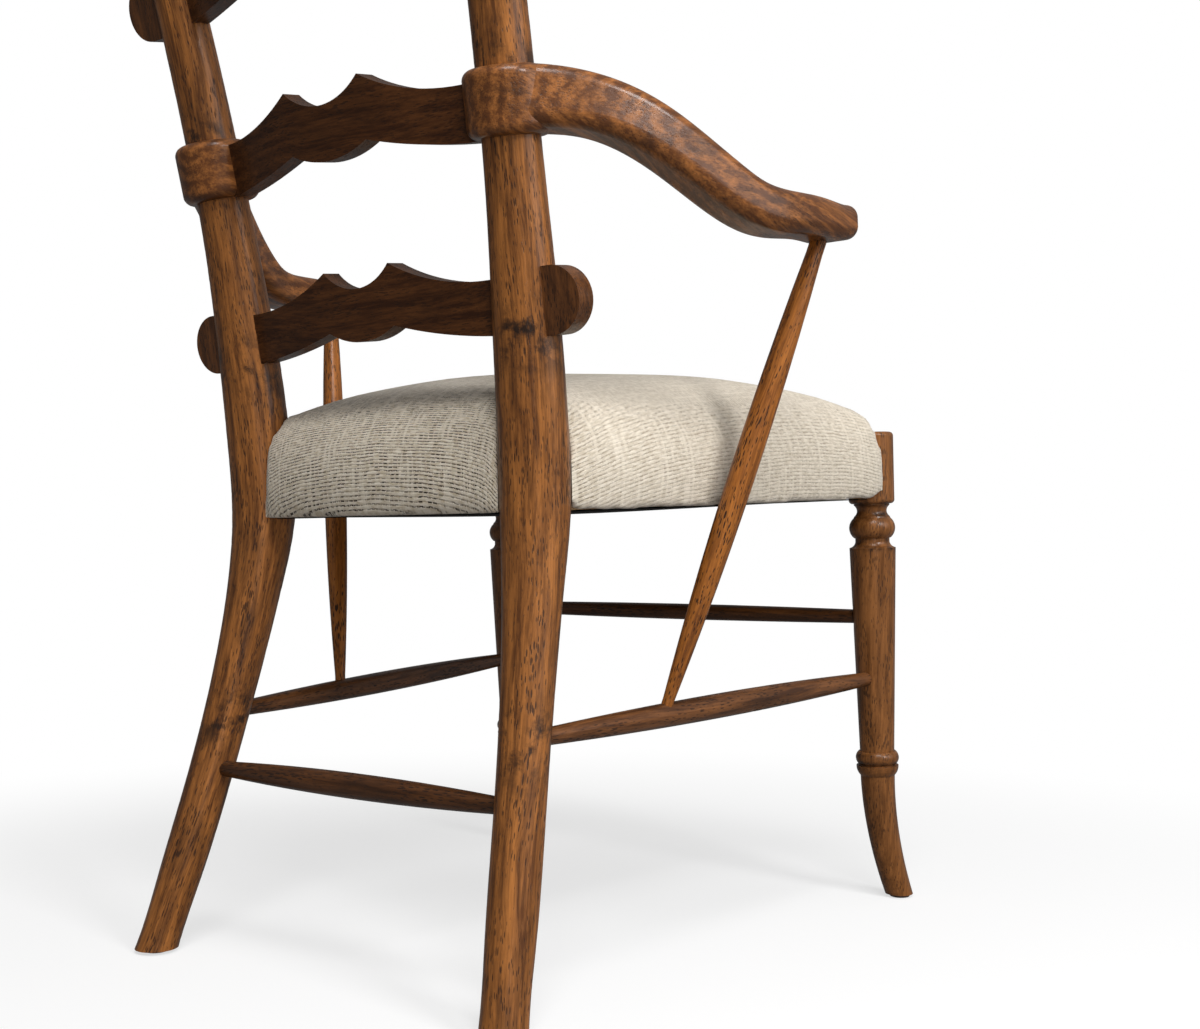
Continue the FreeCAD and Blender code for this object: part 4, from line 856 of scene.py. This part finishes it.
def cloth_attribute(name):
    """A stored place on the cloth."""
    settings = {"attribute_type": "GEOMETRY", "attribute_name": name}
    return add_node(cloth_tree, "ShaderNodeAttribute", settings).outputs["Vector"]


top_spot = cloth_attribute("thread_place")
side_spot = cloth_attribute("side_thread_place")
side_amount = add_node(cloth_tree, "ShaderNodeSeparateXYZ", Vector=side_spot).outputs["Z"]
rear_amount = add_node(cloth_tree, "ShaderNodeSeparateXYZ", Vector=top_spot).outputs["Z"]
edge_fray = maths(cloth_tree, "SUBTRACT", noise(cloth_tree, cushion_place, 260.0, 3.0, 0.6), 0.5)
frayed_side = maths(cloth_tree, "ADD", side_amount, maths(cloth_tree, "MULTIPLY", edge_fray, 0.9))
on_side = maths(cloth_tree, "GREATER_THAN", frayed_side, 0.5)
cloth_spot = add_node(
    cloth_tree, "ShaderNodeMix", {"data_type": "VECTOR"}, _0=on_side, _4=top_spot, _5=side_spot
).outputs[1]
cloth_warp = add_node(
    cloth_tree, "ShaderNodeTexNoise", Vector=cloth_spot, Scale=34.0, Detail=2.0
).outputs["Color"]
warped_spot = add_node(
    cloth_tree, "ShaderNodeVectorMath", {"operation": "MULTIPLY_ADD"},
    _0=cloth_warp, _1=(0.005, 0.0035, 0.0), _2=cloth_spot,
).outputs["Vector"]
warped_parts = add_node(cloth_tree, "ShaderNodeSeparateXYZ", Vector=warped_spot)
row_count = maths(cloth_tree, "DIVIDE", warped_parts.outputs["Y"], ROW_PITCH)
column_count = maths(cloth_tree, "DIVIDE", warped_parts.outputs["X"], COLUMN_PITCH)
row_number = maths(cloth_tree, "FLOOR", row_count)
row_shift = add_node(
    cloth_tree, "ShaderNodeTexWhiteNoise", {"noise_dimensions": "1D"}, W=row_number
).outputs["Value"]
shifted_columns = maths(cloth_tree, "ADD", column_count, row_shift)
column_number = maths(cloth_tree, "FLOOR", shifted_columns)
row_wave = maths(cloth_tree, "PINGPONG", row_count, 0.5)
column_wave = maths(cloth_tree, "PINGPONG", shifted_columns, 0.5)
cell_spot = add_node(cloth_tree, "ShaderNodeCombineXYZ", X=column_number, Y=row_number)
cell_chance = add_node(
    cloth_tree, "ShaderNodeTexWhiteNoise", {"noise_dimensions": "2D"}, Vector=cell_spot.outputs["Vector"]
).outputs["Value"]
row_gap = between(cloth_tree, row_wave, 0.25, 0.11)
column_gap = between(cloth_tree, column_wave, 0.04, 0.14)
dash = maths(cloth_tree, "MULTIPLY", row_gap, column_gap)
flat_spot = stretched(cloth_tree, cloth_spot, (1, 1, 0))
gap_zones = noise(cloth_tree, flat_spot, 42.0, 3.0, 0.6)
dash_chance = maths(
    cloth_tree, "MULTIPLY",
    between(cloth_tree, cell_chance, 0.0, 0.5), between(cloth_tree, gap_zones, 0.26, 0.56, 0.45, 1.0),
)
# Dashes grow stronger towards the back face: painted shade for the shadows of the rows there
rear_dash_shade = between(cloth_tree, rear_amount, 0.2, 0.8, 0.46, 1.0)
upright_count = maths(cloth_tree, "DIVIDE", warped_parts.outputs["X"], UPRIGHT_PITCH)
upright_number = maths(cloth_tree, "FLOOR", upright_count)
upright_chance = add_node(
    cloth_tree, "ShaderNodeTexWhiteNoise", {"noise_dimensions": "1D"}, W=upright_number
).outputs["Value"]
upright_breaks = noise(cloth_tree, stretched(cloth_tree, cloth_spot, (1, 0.3, 0)), 120.0, 2.0, 0.5)
pale_upright = maths(
    cloth_tree, "MULTIPLY",
    between(cloth_tree, upright_chance, 0.62, 0.72), between(cloth_tree, upright_breaks, 0.4, 0.6),
)
bare_dash = maths(cloth_tree, "MULTIPLY", maths(cloth_tree, "MULTIPLY", dash, dash_chance), rear_dash_shade)
upright_cover = maths(cloth_tree, "SUBTRACT", 1.0, maths(cloth_tree, "MULTIPLY", pale_upright, 0.75))
dash_share = maths(cloth_tree, "MULTIPLY", bare_dash, upright_cover, True)
yarn_fuzz = noise(cloth_tree, flat_spot, 900.0, 3.0, 0.7)
yarn_tint = noise(cloth_tree, stretched(cloth_tree, warped_spot, (0.35, 1, 0)), 420.0, 3.0, 0.6)
YARN_FUZZ = (0.80, 0.74, 0.64, 1)
YARN_PALE = (0.69, 0.62, 0.515, 1)
YARN_TAN = (0.50, 0.425, 0.325, 1)
# Darker yarn and near-black gaps for the back face: painted shade, for the face that lies in shade
YARN_TAN_REAR_SHADED = (0.46, 0.37, 0.25, 1)
GAP_TAN = (0.12, 0.080, 0.045, 1)
GAP_BROWN_REAR_SHADED = (0.022, 0.012, 0.006, 1)
# Yarn darkened on the back face: painted shade
tan_with_rear_shade = mixed(cloth_tree, rear_amount, YARN_TAN, YARN_TAN_REAR_SHADED)
plain_yarn = mixed(cloth_tree, between(cloth_tree, yarn_tint, 0.34, 0.66), tan_with_rear_shade, YARN_PALE)
yarn_colour = mixed(cloth_tree, maths(cloth_tree, "MULTIPLY", pale_upright, 0.5), plain_yarn, YARN_PALE)
fuzzy_colour = mixed(
    cloth_tree, maths(cloth_tree, "MULTIPLY", between(cloth_tree, yarn_fuzz, 0.35, 0.75), 0.35),
    yarn_colour, YARN_FUZZ,
)
# Gaps darkened on the back face: painted shade
gap_with_rear_shade = mixed(cloth_tree, rear_amount, GAP_TAN, GAP_BROWN_REAR_SHADED)
cloth_colour = mixed(cloth_tree, dash_share, fuzzy_colour, gap_with_rear_shade)
cloth_tree.links.new(cloth_colour, cloth_shader.inputs["Base Color"])
row_round = maths(cloth_tree, "SUBTRACT", 1.0, row_gap)
yarn_height = maths(cloth_tree, "MULTIPLY", maths(cloth_tree, "ADD", row_round, yarn_fuzz), 0.5)
deep_weave = maths(cloth_tree, "SUBTRACT", yarn_height, maths(cloth_tree, "MULTIPLY", dash_share, 0.6))
weave_depth = between(cloth_tree, rear_amount, 0.0, 1.0, 0.45, 1.0)
cloth_height = maths(cloth_tree, "MULTIPLY", deep_weave, weave_depth)
cloth_bump = add_node(cloth_tree, "ShaderNodeBump", Strength=0.6, Distance=0.0009, Height=cloth_height)
cloth_tree.links.new(cloth_bump.outputs["Normal"], cloth_shader.inputs["Normal"])
cloth_shader.inputs["Roughness"].default_value = 0.92
cloth_shader.inputs["Specular IOR Level"].default_value = 0.15
cloth_shader.inputs["Sheen Weight"].default_value = 0.25
cloth_shader.inputs["Sheen Roughness"].default_value = 0.5
cushion.data.materials.clear()
cushion.data.materials.append(chenille)
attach(cushion, "root")
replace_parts(cushion, "seat_cover", "seat_foam")

# Dust cover
# A thin black cambric cloth that closes the seat underneath and hides the cover's turned edges.
# It is stretched over the rails' lower faces, cut round the legs and posts, and sags a little.

DUST_MARGIN = 9.0 * MM
DUST_LEVEL = -1.0 * MM
DUST_SAG = 5.0 * MM
DUST_THICKNESS = 0.6 * MM
DUST_STEPS = 48
RAIL_HOLD = 0.12


def sag_share(share):
    """How far the cloth sags at a share of its run: not at all over the rails, most in the middle."""
    return max(math.sin(math.pi * share) - RAIL_HOLD, 0) / (1 - RAIL_HOLD)


dust_points = []
dust_faces = []
for row in range(DUST_STEPS + 1):
    along_share = row / DUST_STEPS
    along = -DUST_MARGIN + along_share * (RAIL_RUN + 2 * DUST_MARGIN)
    half = LEG_HALF_SPACING + DUST_MARGIN * SLANT_STRETCH + SIDE_LEAN * along
    for column in range(DUST_STEPS + 1):
        across_share = column / DUST_STEPS
        level = DUST_LEVEL - DUST_SAG * sag_share(along_share) * sag_share(across_share)
        dust_points.append(seat_to_world @ Vector(((2 * across_share - 1) * half, along, level)))
for row in range(DUST_STEPS):
    for column in range(DUST_STEPS):
        first = row * (DUST_STEPS + 1) + column
        dust_faces.append((first, first + 1, first + DUST_STEPS + 2, first + DUST_STEPS + 1))
dust_mesh = bpy.data.meshes.new("dust_cloth")
dust_mesh.from_pydata(dust_points, [], dust_faces)
dust_cloth = make_object("dust_cloth", dust_mesh)
thicken = dust_cloth.modifiers.new("thicken", "SOLIDIFY")
thicken.thickness = DUST_THICKNESS
apply_modifiers(dust_cloth)
cut_by(dust_cloth, clearings)
dust_cloth.data.polygons.foreach_set("use_smooth", [False] * len(dust_cloth.data.polygons))
CAMBRIC_BLACK = (0.006, 0.006, 0.006, 1)
CAMBRIC_WORN = (0.034, 0.032, 0.030, 1)
cambric, cambric_tree, cambric_shader, cambric_place = new_material("black_cambric")
cambric_threads = noise(cambric_tree, stretched(cambric_tree, cambric_place, (1, 0.15, 1)), 1400.0, 3.0, 0.7)
cambric_felt = noise(cambric_tree, cambric_place, 240.0, 4.0, 0.7)
cambric_tint = maths(cambric_tree, "MULTIPLY", cambric_threads, cambric_felt)
cambric_wear = between(cambric_tree, cambric_tint, 0.1, 0.45)
cambric_colour = mixed(cambric_tree, cambric_wear, CAMBRIC_BLACK, CAMBRIC_WORN)
cambric_tree.links.new(cambric_colour, cambric_shader.inputs["Base Color"])
cambric_bump = add_node(cambric_tree, "ShaderNodeBump", Strength=0.4, Distance=0.0004, Height=cambric_tint)
cambric_tree.links.new(cambric_bump.outputs["Normal"], cambric_shader.inputs["Normal"])
cambric_shader.inputs["Roughness"].default_value = 0.95
cambric_shader.inputs["Specular IOR Level"].default_value = 0.1
dust_cloth.data.materials.clear()
dust_cloth.data.materials.append(cambric)
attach(dust_cloth, "root")
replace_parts(dust_cloth, "dust_cover")
for room in clearings + [frame_room]:
    bpy.data.objects.remove(room)

# Foot glides
# Nylon discs with a pin, knocked into the end of each foot.

NYLON_BROWN = (0.035, 0.022, 0.015, 1)
NYLON_SCUFFED = (0.08, 0.055, 0.04, 1)
nylon, nylon_tree, nylon_shader, nylon_place = new_material("glide_nylon_brown")
nylon_scuff = noise(nylon_tree, nylon_place, 400.0, 4.0, 0.65)
nylon_colour = mixed(nylon_tree, nylon_scuff, NYLON_BROWN, NYLON_SCUFFED)
nylon_tree.links.new(nylon_colour, nylon_shader.inputs["Base Color"])
nylon_tree.links.new(between(nylon_tree, nylon_scuff, 0.2, 0.8, 0.35, 0.6), nylon_shader.inputs["Roughness"])
dress(nylon, "foot_glides")

# Floor
# A plain white studio floor that runs up to white with distance and keeps the chair's soft shadow.

floor_mesh = bpy.data.meshes.new("studio_floor")
FLOOR_REACH = 9.0
floor_mesh.from_pydata(
    [(-FLOOR_REACH, -FLOOR_REACH, 0), (FLOOR_REACH, -FLOOR_REACH, 0), (FLOOR_REACH, FLOOR_REACH, 0),
     (-FLOOR_REACH, FLOOR_REACH, 0)],
    [], [(0, 1, 2, 3)],
)
floor = make_object("studio_floor", floor_mesh)
floor_white = bpy.data.materials.new("studio_white")
floor_white.use_nodes = True
floor_tree = floor_white.node_tree
floor_tree.nodes.clear()
floor_out = floor_tree.nodes.new("ShaderNodeOutputMaterial")
light_path = add_node(floor_tree, "ShaderNodeLightPath")
FLOOR_PAINT = (1.0, 1.0, 1.0, 1)
FLOOR_BOUNCE = (0.17, 0.17, 0.17, 1)
bounced = maths(
    floor_tree, "MAXIMUM", light_path.outputs["Is Diffuse Ray"], light_path.outputs["Is Glossy Ray"]
)
floor_colour = mixed(floor_tree, bounced, FLOOR_PAINT, FLOOR_BOUNCE)
floor_paint = add_node(floor_tree, "ShaderNodeBsdfDiffuse", Color=floor_colour)
seen = maths(
    floor_tree, "MAXIMUM", light_path.outputs["Is Camera Ray"], light_path.outputs["Is Transmission Ray"]
)
floor_place = add_node(floor_tree, "ShaderNodeTexCoord").outputs["Object"]
floor_distance = add_node(
    floor_tree, "ShaderNodeVectorMath", {"operation": "LENGTH"}, _0=floor_place
).outputs["Value"]
floor_fade = between(floor_tree, floor_distance, 0.45, 1.25, 0.64, 1.0)
FLOOR_GLOSS = 0.2
floor_gloss = maths(floor_tree, "MULTIPLY", light_path.outputs["Is Glossy Ray"], FLOOR_GLOSS)
floor_lift = maths(floor_tree, "MULTIPLY", floor_fade, maths(floor_tree, "MAXIMUM", seen, floor_gloss))
floor_glow = add_node(floor_tree, "ShaderNodeEmission", Color=(1, 1, 1, 1), Strength=1.0)
floor_mix = add_node(
    floor_tree, "ShaderNodeMixShader", _0=floor_lift, _1=floor_paint.outputs[0], _2=floor_glow.outputs[0]
)
floor_tree.links.new(floor_mix.outputs[0], floor_out.inputs["Surface"])
floor_mesh.materials.append(floor_white)

# Studio light
# A soft box on the chair's right, one above and one low behind, a box that only the gloss shows,
# and light from a white room that is brighter on the right and above.


def soft_box(name, place, target, size, power):
    """A square lamp at a place, turned towards a target."""
    lamp = bpy.data.lights.new(name, "AREA")
    lamp.shape = "SQUARE"
    lamp.size = size
    lamp.energy = power
    piece = bpy.data.objects.new(name, lamp)
    bpy.context.scene.collection.objects.link(piece)
    piece.location = place
    piece.rotation_euler = (Vector(target) - Vector(place)).to_track_quat("-Z", "Y").to_euler()
    return piece


CHAIR_MIDDLE = (0.0, -0.05, 0.5)
soft_box("side_soft_box", (-2.4, 0.5, 1.8), CHAIR_MIDDLE, size=0.7, power=40.0)
soft_box("top_soft_box", (-1.1, 1.1, 2.6), CHAIR_MIDDLE, size=1.0, power=42.0)
rear_box = soft_box("rear_soft_box", (-1.9, 1.8, 0.3), CHAIR_MIDDLE, size=0.6, power=16.0)
rear_box.visible_glossy = False
sheen_box = soft_box("sheen_soft_box", (-2.2, -0.5, 1.2), CHAIR_MIDDLE, size=1.2, power=13.0)
sheen_box.visible_diffuse = False
world = bpy.data.worlds.new("white_room")
bpy.context.scene.world = world
world.use_nodes = True
world_tree = world.node_tree
world_tree.nodes.clear()
world_out = world_tree.nodes.new("ShaderNodeOutputWorld")
world_path = add_node(world_tree, "ShaderNodeLightPath")
GLOSS_SHARE = 0.12
seen_through = maths(
    world_tree, "MAXIMUM", world_path.outputs["Is Camera Ray"], world_path.outputs["Is Transmission Ray"]
)
seen_in_gloss = maths(world_tree, "MULTIPLY", world_path.outputs["Is Glossy Ray"], GLOSS_SHARE)
world_seen = maths(world_tree, "MAXIMUM", seen_through, seen_in_gloss)
ROOM_SHADE = 0.03
ROOM_LIGHT = 0.30
ROOM_BRIGHT_WAY = (-0.72, 0.15, 0.68)
room_way = add_node(world_tree, "ShaderNodeTexCoord").outputs["Generated"]
room_side = add_node(
    world_tree, "ShaderNodeVectorMath", {"operation": "DOT_PRODUCT"}, _0=room_way, _1=ROOM_BRIGHT_WAY
).outputs["Value"]
room_level = between(world_tree, room_side, -0.7, 0.8, ROOM_SHADE, ROOM_LIGHT)
white_share = maths(world_tree, "SUBTRACT", 1.0, room_level)
room_strength = maths(
    world_tree, "ADD", room_level, maths(world_tree, "MULTIPLY", white_share, world_seen)
)
room_glow = add_node(world_tree, "ShaderNodeBackground", Color=(1, 1, 1, 1), Strength=room_strength)
world_tree.links.new(room_glow.outputs[0], world_out.inputs["Surface"])
bpy.context.scene.view_settings.view_transform = "Standard"

# Camera
# Level, a third of a metre above the floor, behind the chair and to its right.

camera_data = bpy.data.cameras.new("camera")
camera_data.sensor_fit = "HORIZONTAL"
camera_data.sensor_width = 36.0
camera_data.lens = 42.32
camera_data.shift_x = -0.00727
camera_data.shift_y = 0.0334
camera = bpy.data.objects.new("camera", camera_data)
bpy.context.scene.collection.objects.link(camera)
camera.location = (-0.84375, 1.02205, 0.34627)
camera.rotation_euler = Vector((0.5834, -0.8122, 0.0)).to_track_quat("-Z", "Y").to_euler()
bpy.context.scene.camera = camera
